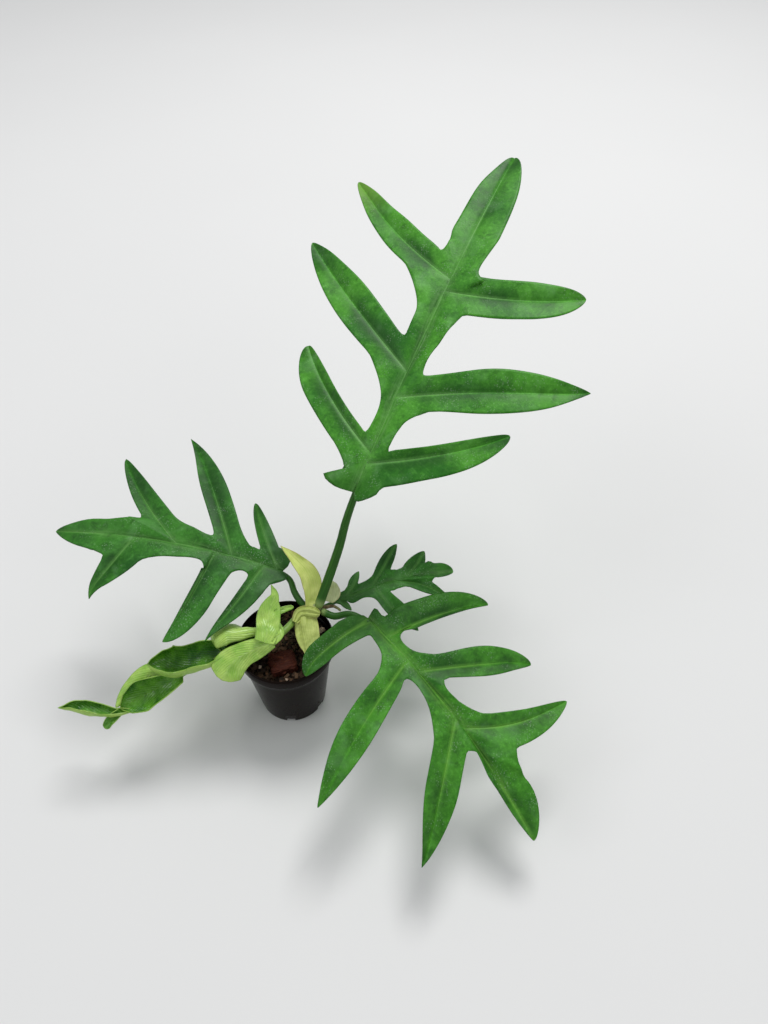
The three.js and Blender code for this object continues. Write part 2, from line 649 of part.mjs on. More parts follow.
function chipGeometry(size, random) {
  const corners = [];
  for (let i = 0; i < CHIP_CORNERS; i += 1) {
    const side = () => (random() > 0.5 ? 1 : -1);
    const spread = () => side() * (CHIP_CORNER_REACH + CHIP_CORNER_SPREAD * random());
    corners.push(new THREE.Vector3(size[0] * spread(), size[1] * spread(), size[2] * spread()));
  }
  return new ConvexGeometry(corners);
}

function makeMix(stemHole, chunkPocket) {
  const floor = POT_FLOOR + FIT_GAP;
  const radiusAt = (z) => wallRadius(z) - POT_WALL - FIT_GAP;
  const sheet = new Sheet();
  const ring = (count, height, radius) => Array.from({ length: count }, (_, j) => {
    const angle = (j / count) * Math.PI * 2;
    const x = Math.cos(angle) * radius;
    const y = Math.sin(angle) * radius;
    return sheet.add(new THREE.Vector3(x, y, height(x, y)));
  });
  const rings = [ring(POT_SEGMENTS, () => floor, radiusAt(floor))];
  for (let i = MIX_RINGS; i > 0; i -= 1) {
    rings.push(ring(POT_SEGMENTS, mixHeight, (radiusAt(MIX_LEVEL - 2) * i) / MIX_RINGS));
  }
  const bottom = sheet.add(new THREE.Vector3(0, 0, floor));
  const top = sheet.add(new THREE.Vector3(0, 0, mixHeight(0, 0)));
  for (let j = 0; j < POT_SEGMENTS; j += 1) {
    const next = (j + 1) % POT_SEGMENTS;
    sheet.face(bottom, rings[0][next], rings[0][j]);
    for (let i = 0; i + 1 < rings.length; i += 1) {
      sheet.quad(rings[i][j], rings[i][next], rings[i + 1][next], rings[i + 1][j]);
    }
    sheet.face(top, rings[rings.length - 1][j], rings[rings.length - 1][next]);
  }
  let solid = toSolid(closedGeometry(sheet.points.flatMap((p) => p.toArray()), sheet.faces.flat()));
  const random = seeded(7);
  for (let i = 0; i < CHIP_COUNT; i += 1) {
    const angle = i * GOLDEN_ANGLE;
    const reach = CHIP_REACH * Math.sqrt((i + 0.5) / CHIP_COUNT);
    const size = CHIP_SIZE * (CHIP_SMALLEST + CHIP_SPREAD * random());
    const chip = chipGeometry(CHIP_SHAPE.map((share) => share * size), random);
    chip.rotateX((random() - 0.5) * CHIP_TILT);
    chip.rotateZ(random() * Math.PI);
    const x = Math.cos(angle) * reach;
    const y = Math.sin(angle) * reach;
    const clearOfChunk = Math.hypot(x - CHUNK_PLACE[0], y - CHUNK_PLACE[1]) > CHUNK_CLEARANCE;
    const clearOfStem = Math.hypot(x - STEM_PATH[1][0], y - STEM_PATH[1][1]) > STEM_CLEARANCE;
    chip.translate(x, y, mixHeight(x, y) + CHIP_LIFT);
    if (clearOfChunk && clearOfStem) solid = solid.add(toSolid(chip));
  }
  return solid.subtract(stemHole).subtract(chunkPocket);
}

function makeChunk(grow) {
  const chunk = chipGeometry(CHUNK_SIZE, seeded(23));
  const swell = 1 + (CHUNK_POCKET * grow) / CHUNK_SIZE[2];
  chunk.scale(swell, swell, swell);
  chunk.rotateX(CHUNK_TURN[0]);
  chunk.rotateY(CHUNK_TURN[1]);
  chunk.rotateZ(CHUNK_TURN[2]);
  chunk.translate(...CHUNK_PLACE);
  return toSolid(chunk);
}

const plant = new THREE.Group();

function addPart(name, solid, material) {
  const mesh = new THREE.Mesh(toGeometry(solid), material);
  mesh.name = name;
  plant.add(mesh);
}

// Each piece is trimmed to stand clear of the stalks that were placed before it.
const stalks = [];

function trimmed(solid) {
  return stalks.reduce((rest, stalk) => rest.subtract(stalk), solid);
}

function addStem() {
  const stem = (grow) => toSolid(bar(STEM_PATH, STEM_RADII, STEM_RINGS, STEM_SIDES, grow));
  addPart('stem', stem(0), materials.stem);
  stalks.push(stem(FIT_GAP));
}

function addLeaf(name, leaf, material) {
  const solid = toSolid(bladeGeometry(leaf)).add(toSolid(stalkGeometry(leaf)));
  addPart(name, trimmed(solid), material);
  stalks.push(toSolid(stalkGeometry(leaf, FIT_GAP)));
}

function addNewLeaf() {
  const rib = (grow) => toSolid(
    bar(NEW_LEAF_RIB, NEW_LEAF_RIB_RADII, NEW_LEAF_RIB_RINGS, NEW_LEAF_RIB_SIDES, grow));
  let solid = rib(0);
  for (const part of NEW_LEAF_LOBES) solid = solid.add(toSolid(strapGeometry(part, LOBE_THICKNESS)));
  addPart('leaf_new', trimmed(solid), materials.newLeaf);
  stalks.push(rib(FIT_GAP));
}

function addAerialRoot() {
  const root = bar(AERIAL_ROOT, AERIAL_ROOT_RADII, AERIAL_ROOT_RINGS, AERIAL_ROOT_SIDES);
  addPart('aerial_root', trimmed(toSolid(root)), materials.root);
}

function addSheath(name, folds, material) {
  const solids = folds.map((fold) => toSolid(strapGeometry(fold, SHEATH_THICKNESS)));
  addPart(name, trimmed(solids.reduce((joined, solid) => joined.add(solid))), material);
}

addPart('pot', makePot(), materials.pot);
addStem();
addPart('potting_mix', makeMix(stalks[0], makeChunk(FIT_GAP)), materials.mix);
addPart('bark_chunk', makeChunk(0), materials.bark);
addLeaf('leaf_upper', UPPER_LEAF, materials.upperLeaf);
addLeaf('leaf_lower', LOWER_LEAF, materials.lowerLeaf);
addLeaf('leaf_left', LEFT_LEAF, materials.leftLeaf);
addLeaf('leaf_small', SMALL_LEAF, materials.smallLeaf);
addNewLeaf();
addSheath('sheath_upper', [UPPER_SHEATH], materials.sheath);
addSheath('sheath_lower', [LOWER_SHEATH, COLLAR], materials.sheath);
addSheath('sheath_back', [BACK_SHEATH], materials.backSheath);
addAerialRoot();

export default plant;
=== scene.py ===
"""A young philodendron with deeply cut leaves in a round black nursery pot.

Sizes are in millimetres and are turned to metres where a point enters a mesh. The frame is the
pot's own: the origin is the middle of its underside, +Z is up and -Y faces the viewer.
"""

import math
import random

import bmesh
import bpy
from mathutils import Matrix, Vector, noise


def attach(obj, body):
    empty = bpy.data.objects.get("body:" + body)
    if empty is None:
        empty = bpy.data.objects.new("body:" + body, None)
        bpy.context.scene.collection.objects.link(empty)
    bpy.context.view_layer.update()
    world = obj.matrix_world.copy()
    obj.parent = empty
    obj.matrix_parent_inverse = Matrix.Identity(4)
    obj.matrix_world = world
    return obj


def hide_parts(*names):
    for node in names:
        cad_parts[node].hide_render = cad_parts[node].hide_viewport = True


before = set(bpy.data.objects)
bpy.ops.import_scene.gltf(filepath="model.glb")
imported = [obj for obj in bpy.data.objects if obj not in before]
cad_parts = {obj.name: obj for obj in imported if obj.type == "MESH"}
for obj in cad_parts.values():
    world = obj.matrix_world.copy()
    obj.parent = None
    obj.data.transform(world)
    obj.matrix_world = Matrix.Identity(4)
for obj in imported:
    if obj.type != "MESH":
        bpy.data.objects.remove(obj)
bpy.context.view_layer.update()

MM = 0.001
TURN = math.tau
MERGE = 0.004
FINE_MERGE = 0.001

# Pot
POT_HEIGHT = 83
POT_FOOT_RADIUS = 28
POT_RIM_RADIUS = 39.5
POT_WALL = 1.2
POT_FLOOR = 1.6
POT_STEPS = 144
POT_MERGE = 0.005
UNDERSIDE_HEIGHT = 0.1
RIM_BAND = 10
RIM_STEP = 1.2
DRAIN_HOLES = 6
DRAIN_HALF_ANGLE = 0.13
DRAIN_HEIGHT = 5
DRAIN_INNER_RADIUS = 21.5
DRAIN_SHORTFALL = 0.3
FOOT_PROFILE = [(0, 0), (8, 0), (16, 0), (21, 0), (23, 0), (25, 0), (26.4, 0), (27.4, 0.25), (28, 0.8)]
WALL_STOPS = [1.8, 2.6, 3.4, 4.2, DRAIN_HEIGHT, 12, 24, 38, 52, 64, POT_HEIGHT - RIM_BAND - 1.2]

# Steps out to the rim band and round the lip: how far in from the rim, and how high or how deep
BAND_FLARE = (0.3, 0.5)
BAND_PROFILE = [(0.8, 0), (0.2, 0.5), (0, 1.4)]
LIP_PROFILE = [(0, 1.6), (0.25, 0.7), (0.8, 0.15), (1.6, 0)]

# Potting mix
MIX_LEVEL = 73
MIX_HEAP = 4
HEAP_PLACE = (12, 12)
HEAP_SPREAD = 260
MIX_BUMP = 1.1
MIX_GAP = 0.35
MIX_SINK = 0.6
MIX_ROUGH = [(1.1, 0.5, 0), (0.7, 1.3, 9)]
MIX_AROUND = 160
MIX_TOP_ROWS = 46
MIX_SIDE_ROWS = 22
MIX_FLOOR_ROWS = 6
STEM_FOOT = (12.5, 14.2)

# Loose chips and fibres on the mix
CHIP_COUNT = 520
CHIP_TURN = 2.39996
CHIP_EDGE_GAP = 2.5
CHIP_SMALLEST = 2.0
CHIP_SPREAD = 4.2
CHIP_TILT = 0.7
CHIP_BEVEL = 0.14
CHIP_CORNERS = [(0.75, 0.35), (0.7, 0.4), (0.7, 0.5)]
CHIP_WIDTHS = (0.5, 0.9)
CHIP_DEPTHS = (0.25, 0.5)
CHIP_LIFT = 0.25
CHIP_SEED = 41
STEM_CLEARANCE = 7
CHUNK_CLEARANCE = 11.5
PALE_CHIPS = [(28, 14, 6), (3, -31, 3), (-19, -20, 3), (18, -14, 2.5), (-8, 20, 2.5), (24, 3, 3),
              (-24, 2, 2.5)]
PALE_CHIP_TILT = 0.4
PALE_CHIP_LIFT = 1.0
PALE_CHIP_SHAPE = (1, 0.7, 0.45)
FIBRE_COUNT = 90
FIBRE_KNOTS = 5
FIBRE_FIELD_X = (-24, 14)
FIBRE_FIELD_Y = (-8, 28)
FIBRE_START_REACH = 30
FIBRE_END_REACH = 33
FIBRE_STEP = 2.2
FIBRE_BEND = 0.7
FIBRE_LIFT = 0.6
FIBRE_ARCH = 1.4
FIBRE_RADIUS = 0.24
FIBRE_TAPER = 0.6
FIBRE_SEED = 12

# Bark chunk
CHUNK_SIZE = (24, 23, 9)
CHUNK_PLACE = (-1, -17, 75.5)
CHUNK_TURNS = (0.35, 0.1, -0.12)
CHUNK_CORNERS = [(0.82, 0.98), (0.82, 0.98), (0.85, 1.0)]
CHUNK_BEVEL = 1.6
CHUNK_SEED = 5
CHUNK_LONGEST_EDGE = 0.9
CHUNK_SPLITS = 5
CHUNK_GRAIN = 1.2
CHUNK_LUMP = 2.2
CHUNK_SHRINK = 0.8
GRAIN_SCALE = (0.12, 0.9, 1.3)
LUMP_SCALE = 0.22

# Blades
BLADE_THICKNESS = 0.7
BLADE_ROWS = 11
ROW_CROWDING = 1.25
LOBE_STEP = 3.2
LOBE_FEWEST_STEPS = 12
LOBE_CROWDING = 0.9
RIB_STEP = 3.5
FOLD = 0.12
BLADE_SWELL = 2.1
SWELL_REACH = 7
JUNCTION_REACH = 24
JUNCTION_SWELL = 0.35
EAR_LENGTH = 18
EAR_WIDTH = 20
GROOVE_DEPTH = 0.45
GROOVE_WIDTH = 1.3
RIPPLE_LENGTH = 8
LONG_RIPPLE_LENGTH = 17
RIPPLE_REACH = 7
EDGE_SHIFT = 2.1
EAR_CORNER = 6
FLANK_LEAD = 0.15
FLANK_MARGIN = 0.01
HOOK_START = 0.75
DROOP_REACH = 100

# Stalks and the ribs under the blades
STALK_STEPS = 150
STALK_SIDES = 18
STALK_FOOT_SWELL = 1.12
RIB_DEPTH = 0.55
RIB_TAPER = 0.8
RIB_SHARES = (0.04, 0.1, 0.2, 0.32, 0.46, 0.62, 0.78, 0.94)

# Curves and bars
FINE_STEPS = 400
GUIDE_STEPS = 40
BAR_MERGE = 0.002
CAP_BULGE = 0.25
CAP_PULL = 0.82
KNOB_SCALE = 0.4


def lobe(root, tip, bow, upper, lower, belly, neck, blunt, hook):
    """One lobe of a flat blade: its vein, its two half-widths, where it is widest, and its tip."""
    return dict(root=root, tip=tip, bow=bow, upper=upper, lower=lower,
                belly=belly, neck=neck, blunt=blunt, hook=hook)


def margin(*turns, leave=0.2, join=0.2):
    """The edge between two lobes: its turns, and the shares of their lengths at its ends."""
    return dict(turns=turns, leave=leave, join=join)


UPPER_LEAF = dict(
    base=(57, 62, 190), heading=62, rise=38, sag=22, roll=0, droop=0.06,
    length=320, sway=1.5, shift=-1, ripple=0.7, ears=6,
    petiole=[(27.5, 18, 105), (34, 28, 120), (44.5, 44.5, 146), (51.5, 55, 170)],
    petiole_radius=3.4, rib_radius=2.4,
    left=[
        lobe(33, (-88, 98), -5, 7, 16.5, 0.65, 1, 0.5, 0.5),
        lobe(102, (-133, 191), -3, 16.5, 16, 0.45, 0.8, 0.7, 0.5),
        lobe(186, (-122, 265), -8.5, 14, 14.5, 0.25, 0.85, 0.65, -2),
    ],
    left_margins=[
        margin((-14, -1), (-26, 5), (-14, 13)),
        margin((-9, 46), (-7, 54), (-9, 76)),
        margin((-12, 128), (-11, 137), (-14, 156), join=0.25),
        margin((-16, 207), (-14, 215)),
    ],
    right=[
        lobe(24, (94, 80), -4.5, 7.5, 18, 0.45, 1.15, 0.5, 1),
        lobe(79, (136, 131), 2, 17, 18, 0.55, 0.75, 0.85, 2.5),
        lobe(175, (105, 204), -5.5, 14.5, 19, 0.6, 1.1, 0.6, 0.5),
    ],
    right_margins=[
        margin((6, -6), (20, 4), (21, 10)),
        margin((14, 38), (14, 46), (18, 63)),
        margin((16, 102), (14, 108), (18, 133)),
        margin((29, 189), (21, 196)),
    ],
    apex=dict(root=207, left=16, right=23, belly=0.35, neck=1.05, blunt=0.55),
)

LEFT_LEAF = dict(
    base=(-3, 47, 113), heading=172, rise=16, sag=22, roll=12, droop=0.08,
    length=193, sway=2.5, shift=-5.5, ripple=0.5, ears=0,
    petiole=[(18, 19, 99), (11, 26, 102), (6.5, 33, 104.5), (2, 42, 109)],
    petiole_radius=2.5, rib_radius=1.9,
    left=[
        lobe(17, (-72, 45), -2.5, 4.5, 13.5, 0.2, 0.75, 1, -2),
        lobe(58, (-80, 73), -1.5, 2.5, 18, 0.5, 1.2, 0.55, 1),
        lobe(125, (-57, 146), -0.5, 9.5, 19.5, 0.2, 0.6, 0.95, -4.5),
    ],
    left_margins=[
        margin((-6, -5), (-17, 8)),
        margin((-12, 26), (-10, 31), (-13, 37)),
        margin((-16, 61), (-10, 65), (-11, 82), join=0.25),
        margin((-20, 149), leave=0.45, join=0.3),
    ],
    right=[
        lobe(5, (55, 39), 1, 7, 7.5, 0.25, 0.7, 0.55, -0.5),
        lobe(43, (111, 113), -2, 9.5, 12.5, 0.45, 0.95, 1, 2.5),
        lobe(90, (75, 163), 4, 9, 12.5, 0.2, 0.7, 0.65, 0),
    ],
    right_margins=[
        margin((7, -4), (17, 2), join=0.25),
        margin((12, 26), (13, 32), leave=0.3),
        margin((14, 63), (14, 69), (19, 87)),
        margin((12, 141), leave=0.35, join=0.25),
    ],
    apex=dict(root=146, left=16, right=12, belly=0.2, neck=0.9, blunt=0.8),
)

LOWER_LEAF = dict(
    base=(67, 9.6, 100), heading=-52, rise=-2, sag=30, roll=-4, droop=0.08,
    length=206, sway=-3.5, shift=2, ripple=0.6, ears=2,
    petiole=[(30, 15.5, 101), (40, 12, 99), (54, 13, 100)],
    petiole_radius=2.6, rib_radius=2,
    left=[
        lobe(24, (-87, 47), -3.5, 3.5, 18, 0.45, 1.05, 0.6, 1.5),
        lobe(60, (-82, 105), -0.5, 10, 14, 0.55, 0.7, 0.65, 3),
        lobe(113, (-86, 145), 7, 18, 10, 0.2, 0.6, 0.7, 1.5),
    ],
    left_margins=[
        margin((-9, -2), (-10, 8)),
        margin((-17, 27), (-9, 30), (-10, 45)),
        margin((-14, 77), (-11, 82), (-13, 98)),
        margin((-19, 160), leave=0.4, join=0.3),
    ],
    right=[
        lobe(3, (67, 5), -2.5, 9.5, 9.5, 0.7, 1.15, 0.55, 4),
        lobe(48, (114, 94), -3.5, 11.5, 14, 0.5, 0.75, 0.85, -1),
        lobe(104, (78, 171), 0, 12, 12.5, 0.45, 1.05, 0.95, -1.5),
    ],
    right_margins=[
        margin((3, -4), join=0.25),
        margin((9, 14), (9, 20), (12, 33)),
        margin((9, 59), (6, 64), (9, 86)),
        margin((6, 127), (1, 132), (4, 150)),
    ],
    apex=dict(root=156, left=18, right=5, belly=0.3, neck=0.9, blunt=0.7),
)

SMALL_LEAF = dict(
    base=(39, 27, 98), heading=16, rise=4, sag=14, roll=-14, droop=0.1,
    length=106, sway=-4.5, shift=-3, ripple=0.4, ears=0,
    petiole=[(28, 20.5, 96.5), (33.5, 24, 96.7)],
    petiole_radius=1.7, rib_radius=1.4,
    left=[
        lobe(13, (-21, 27), 0.5, 2.5, 5, 0.5, 0.7, 0.8, 0),
        lobe(34, (-39, 65), 0.5, 5.5, 6, 0.5, 0.65, 0.7, 1),
        lobe(65, (-27, 87), 1, 7, 9, 0.25, 0.5, 0.8, 0.5),
    ],
    left_margins=[
        margin((-4, 1)),
        margin((-9, 27), leave=0.5),
        margin((-13, 57), leave=0.45),
        margin((-15, 86), leave=0.6, join=0.3),
    ],
    right=[
        lobe(5, (11, 12), 0, 2.5, 3, 0.45, 0.8, 0.8, 0),
        lobe(36, (41, 60), -3, 9, 7, 0.6, 0.75, 0.85, 0),
        lobe(55, (21, 94), 4, 5, 7.5, 0.5, 0.55, 1.1, 4),
    ],
    right_margins=[
        margin((3, 2)),
        margin((6, 14), (4, 25)),
        margin((4, 49), (3, 54)),
        margin((1, 87), leave=0.6, join=0.3),
    ],
    apex=dict(root=86, left=8.5, right=4.5, belly=0.35, neck=0.9, blunt=0.55),
)

# Stem, new leaf and sheaths
STEM_PATH = [(12, 14, 61), (13, 14.5, 74), (18.5, 16, 88), (26.5, 18, 103)]
STEM_RADII = [6.5, 6.3, 5.8, 5.4, 5.2, 4]
STEM_JOINTS = (0.34, 0.5, 0.64, 0.78, 0.9)
JOINT_LENGTH = 0.02
JOINT_SWELL = 0.45
STEM_TRIM = 0.2
AERIAL_ROOT = [(29, 19, 100), (35, 20, 101), (40, 20, 101), (45, 17, 100)]
AERIAL_ROOT_RADII = [1.6, 1.4, 1.2, 0.8]

NEW_LEAF_RIB = [
    (14, 11, 92), (9, 12, 95), (2, 0, 98), (-6, -8, 97), (-16, -12, 93), (-32, -13, 90),
    (-52, -15, 80), (-68, -19, 77), (-82, -28, 73), (-96, -34, 67), (-111, -40, 60), (-132, -54, 59),
]
NEW_LEAF_RIB_RADII = [2.7, 2.7, 2.6, 2.5, 2.2, 2, 1.8, 1.6, 1.4, 1.2, 1, 0.7]
FRONT = (0.15, -0.54, 0.83)
BACK = (-0.15, 0.54, -0.83)
UP = (0.1, -0.1, 1)
UNDER = (0, 0.5, -1)
NEW_LEAF_ROLLS = [
    dict(spine=[(-16, 4, 93), (-32, 4, 95), (-44, 5, 95), (-59, 2, 92)],
         widths=[9, 17, 26, 24], curl=284, face=(0.05, -0.97, -0.2)),
    dict(spine=[(-44, -12, 84), (-54, -15, 81), (-68, -19, 79), (-87, -22, 76), (-106, -23, 84)],
         widths=[17, 21, 22, 23, 11], curl=225, face=UP),
    dict(spine=[(-78, -31, 79), (-95, -35, 71), (-109, -39, 65), (-126, -50, 63)],
         widths=[7, 15, 19, 8], curl=180, face=FRONT),
    dict(spine=[(-115, -50, 61), (-130, -54, 60), (-148, -52, 60), (-162, -50, 62), (-173, -52, 68)],
         widths=[1, 7, 10, 9, 1], curl=225, face=(0.1, 0.2, 1)),
    dict(spine=[(-126, -52, 62), (-133, -59, 60), (-136, -64, 57)],
         widths=[3, 4, 3], curl=100, face=FRONT),
]
NEW_LEAF_OPEN = [
    dict(spine=[(-13, -15, 102), (-11, -5, 105), (-11, 5, 108), (-9, 15, 112), (-7, 21, 116),
                (-10, 28, 120)],
         widths=[8, 9, 9.5, 8, 3.5, 0.6], curl=40, face=FRONT),
    dict(spine=[(-4, 3, 105), (-1, -7, 103), (-7, -16, 101)],
         widths=[1, 3, 2], curl=60, face=FRONT),
    dict(spine=[(-6, 9, 108), (2, 13, 108), (8, 14, 109)],
         widths=[3, 2.5, 1.5], curl=60, face=FRONT),
    dict(spine=[(-6, -14, 101), (-19, -17, 97), (-30, -21, 94), (-39, -28, 91), (-45, -38, 85)],
         widths=[4, 8, 10, 13, 12], curl=45, face=BACK),
    dict(spine=[(-90, -23, 75), (-106, -27, 74), (-120, -36, 69), (-130, -49, 63)],
         widths=[6, 10, 7, 2], curl=90, face=BACK),
]

UPPER_SHEATH = dict(spine=[(20, 17, 101.5), (21, 31, 110), (17, 41, 118), (8, 49, 125), (-4, 58, 132)],
                    widths=[4.5, 8.5, 9, 5, 1], curl=90, face=(0.5, -0.5, 0.7))
LOWER_SHEATH = dict(spine=[(17, 10, 102), (19, -2, 98), (22, -15, 94), (20, -25, 89)],
                    widths=[9, 10, 7.5, 0], curl=60, face=UNDER, pleat=0.35)
COLLAR = dict(spine=[(9, 5, 101), (13, 12, 103), (21, 12, 105), (29, 11, 104)],
              widths=[3, 6, 6, 4], curl=110, face=UNDER, pleat=0.9)
BACK_SHEATH = dict(spine=[(35, 22, 105), (37.5, 28, 110), (38, 36, 114)],
                   widths=[3.5, 7, 6.5, 2.5], curl=90, face=(0.3, -0.5, 0.7))

# Surface of the straps that make the new leaf and the sheaths
NEW_LEAF_GRID = (52, 30)
SHEATH_GRID = (60, 30)
NEW_LEAF_WALL = 0.8
SHEATH_WALL = 0.6
FULL_HALF_WIDTH = 4
END_ROUNDING = 9
RUFFLE_LENGTH = 3.6
RUFFLE_LAG = 1.7
RUMPLE_SCALE = 0.13
CREASE_SCALE = 0.42
FINE_CREASE = 0.12
PLEATS = 9
PLEAT_SLANT = 3
KEEL_DEPTH = 0.3
KEEL_WIDTH = 1.2

# Colours
LEAF_TINTS = {
    "upper": dict(light=(0.074, 0.31, 0.022), dark=(0.014, 0.13, 0.005), vein=(0.22, 0.44, 0.15)),
    "left": dict(light=(0.037, 0.19, 0.013), dark=(0.007, 0.075, 0.004), vein=(0.17, 0.36, 0.1)),
    "lower": dict(light=(0.058, 0.26, 0.014), dark=(0.011, 0.097, 0.004), vein=(0.2, 0.44, 0.07)),
    "small": dict(light=(0.044, 0.21, 0.018), dark=(0.011, 0.095, 0.006), vein=(0.15, 0.32, 0.09)),
}
LEAF_DUST = (0.45, 0.56, 0.43)
# Pale green painted over the leaves as a painted sheen, in place of reflected light.
LEAF_PAINTED_SHEEN = (0.2, 0.42, 0.18)
LEAF_RIM = (0.02, 0.05, 0.008)
YELLOW_TIP = dict(place=(-124, 266), colour=(0.2, 0.4, 0.05))
NEW_LEAF_OUTSIDE = dict(light=(0.4, 0.6, 0.11), dark=(0.2, 0.42, 0.04), vein=(0.52, 0.68, 0.24))
NEW_LEAF_INSIDE = dict(light=(0.12, 0.36, 0.02), dark=(0.012, 0.11, 0.003), vein=(0.2, 0.42, 0.05))
LEAF_STALK = dict(light=(0.036, 0.15, 0.008), dark=(0.008, 0.06, 0.002))
NEW_LEAF_STALK = dict(light=(0.28, 0.42, 0.1), dark=(0.12, 0.25, 0.03))
MIX_FIBRE = dict(light=(0.13, 0.11, 0.04), dark=(0.05, 0.042, 0.016))
STALK_FOOT = (0.3, 0.42, 0.13)
PALE_SHEATH = dict(light=(0.66, 0.72, 0.22), dark=(0.48, 0.6, 0.12), vein=(0.75, 0.8, 0.4))
PALE_SHEATH_BACK = dict(light=(0.6, 0.68, 0.25), dark=(0.4, 0.52, 0.12), vein=(0.7, 0.75, 0.35))
GREEN_SHEATH = dict(light=(0.52, 0.6, 0.17), dark=(0.3, 0.38, 0.07), vein=(0.62, 0.68, 0.3))
GREY_SHEATH = dict(light=(0.6, 0.66, 0.36), dark=(0.4, 0.47, 0.19), vein=(0.7, 0.74, 0.48))
DRY_SHEATH_EDGE = (0.35, 0.24, 0.1)
STEM_SKIN = dict(light=(0.2, 0.27, 0.08), dark=(0.05, 0.07, 0.02), low=(0.1, 0.065, 0.03),
                 high=(0.36, 0.42, 0.2), scar=(0.32, 0.24, 0.14))
ROOT_SKIN = dict(light=(0.26, 0.2, 0.1), dark=(0.09, 0.06, 0.03), tip=(0.14, 0.2, 0.05))
MIX_CRUMB = dict(light=(0.06, 0.036, 0.02), dark=(0.004, 0.0025, 0.0015), fibre=(0.12, 0.1, 0.04))
DARK_BARK = dict(light=(0.095, 0.052, 0.026), dark=(0.004, 0.0025, 0.0015), flake=(0.15, 0.068, 0.03))
PALE_BARK = dict(light=(0.6, 0.46, 0.35), dark=(0.34, 0.25, 0.18), flake=(0.45, 0.27, 0.17))
RED_BARK = dict(light=(0.085, 0.015, 0.005), dark=(0.022, 0.004, 0.001), flake=(0.16, 0.042, 0.013))
POT_PLASTIC = dict(light=(0.009, 0.005, 0.0035), dark=(0.004, 0.0024, 0.0018), dirt=(0.04, 0.026, 0.018))
FLOOR_PAPER = dict(light=(0.73, 0.727, 0.718), dark=(0.68, 0.678, 0.67))

# Camera: the photograph looks down into the pot at this angle
CAMERA_PLACE = (79.8, -342.8, 609.8)
CAMERA_PITCH = 47.5
CAMERA_LENS = 27.04
CAMERA_FILM = 36

# Studio
FLOOR_REACH = 12000
SKY_COLOUR = (0.95, 0.97, 1.0)
SKY_STRENGTH = 0.44
LIGHTS_AIM = (30, 50, 120)
LIGHTS = [
    dict(name="overhead", place=(600, 1500, 3000), size=1500, power=74, colour=(1, 1, 1)),
    dict(name="window", place=(-2200, -600, 2400), size=1600, power=16, colour=(0.96, 0.98, 1.0)),
    dict(name="fill", place=(1800, -1600, 1600), size=1400, power=8, colour=(1, 1, 1)),
]


# Shader sums written as plain expressions

class Term:
    """A socket of a material's nodes, with the sums that the materials use."""

    def __init__(self, shader, socket):
        self.shader = shader
        self.socket = socket

    def calc(self, operation, *inputs):
        return self.shader.node("Math", {"operation": operation}, dict(enumerate(inputs)))

    def __add__(self, other):
        return self.calc("ADD", self, other)

    __radd__ = __add__

    def __sub__(self, other):
        return self.calc("SUBTRACT", self, other)

    def __rsub__(self, other):
        return self.calc("SUBTRACT", other, self)

    def __mul__(self, other):
        return self.calc("MULTIPLY", self, other)

    __rmul__ = __mul__

    def __truediv__(self, other):
        return self.calc("DIVIDE", self, other)

    def __pow__(self, other):
        return self.calc("POWER", self, other)

    def __abs__(self):
        return self.calc("ABSOLUTE", self)

    def stripes(self):
        """0.5 at every whole number and 0 halfway between them."""
        return abs(self.calc("FRACT", self) - 0.5)

    def rise(self, start, end):
        """0 below start, 1 above end, smooth between."""
        settings = {"interpolation_type": "SMOOTHSTEP"}
        return self.shader.node("MapRange", settings, {0: self, 1: start, 2: end, 3: 0.0, 4: 1.0})

    def fall(self, start, end):
        return 1 - self.rise(start, end)


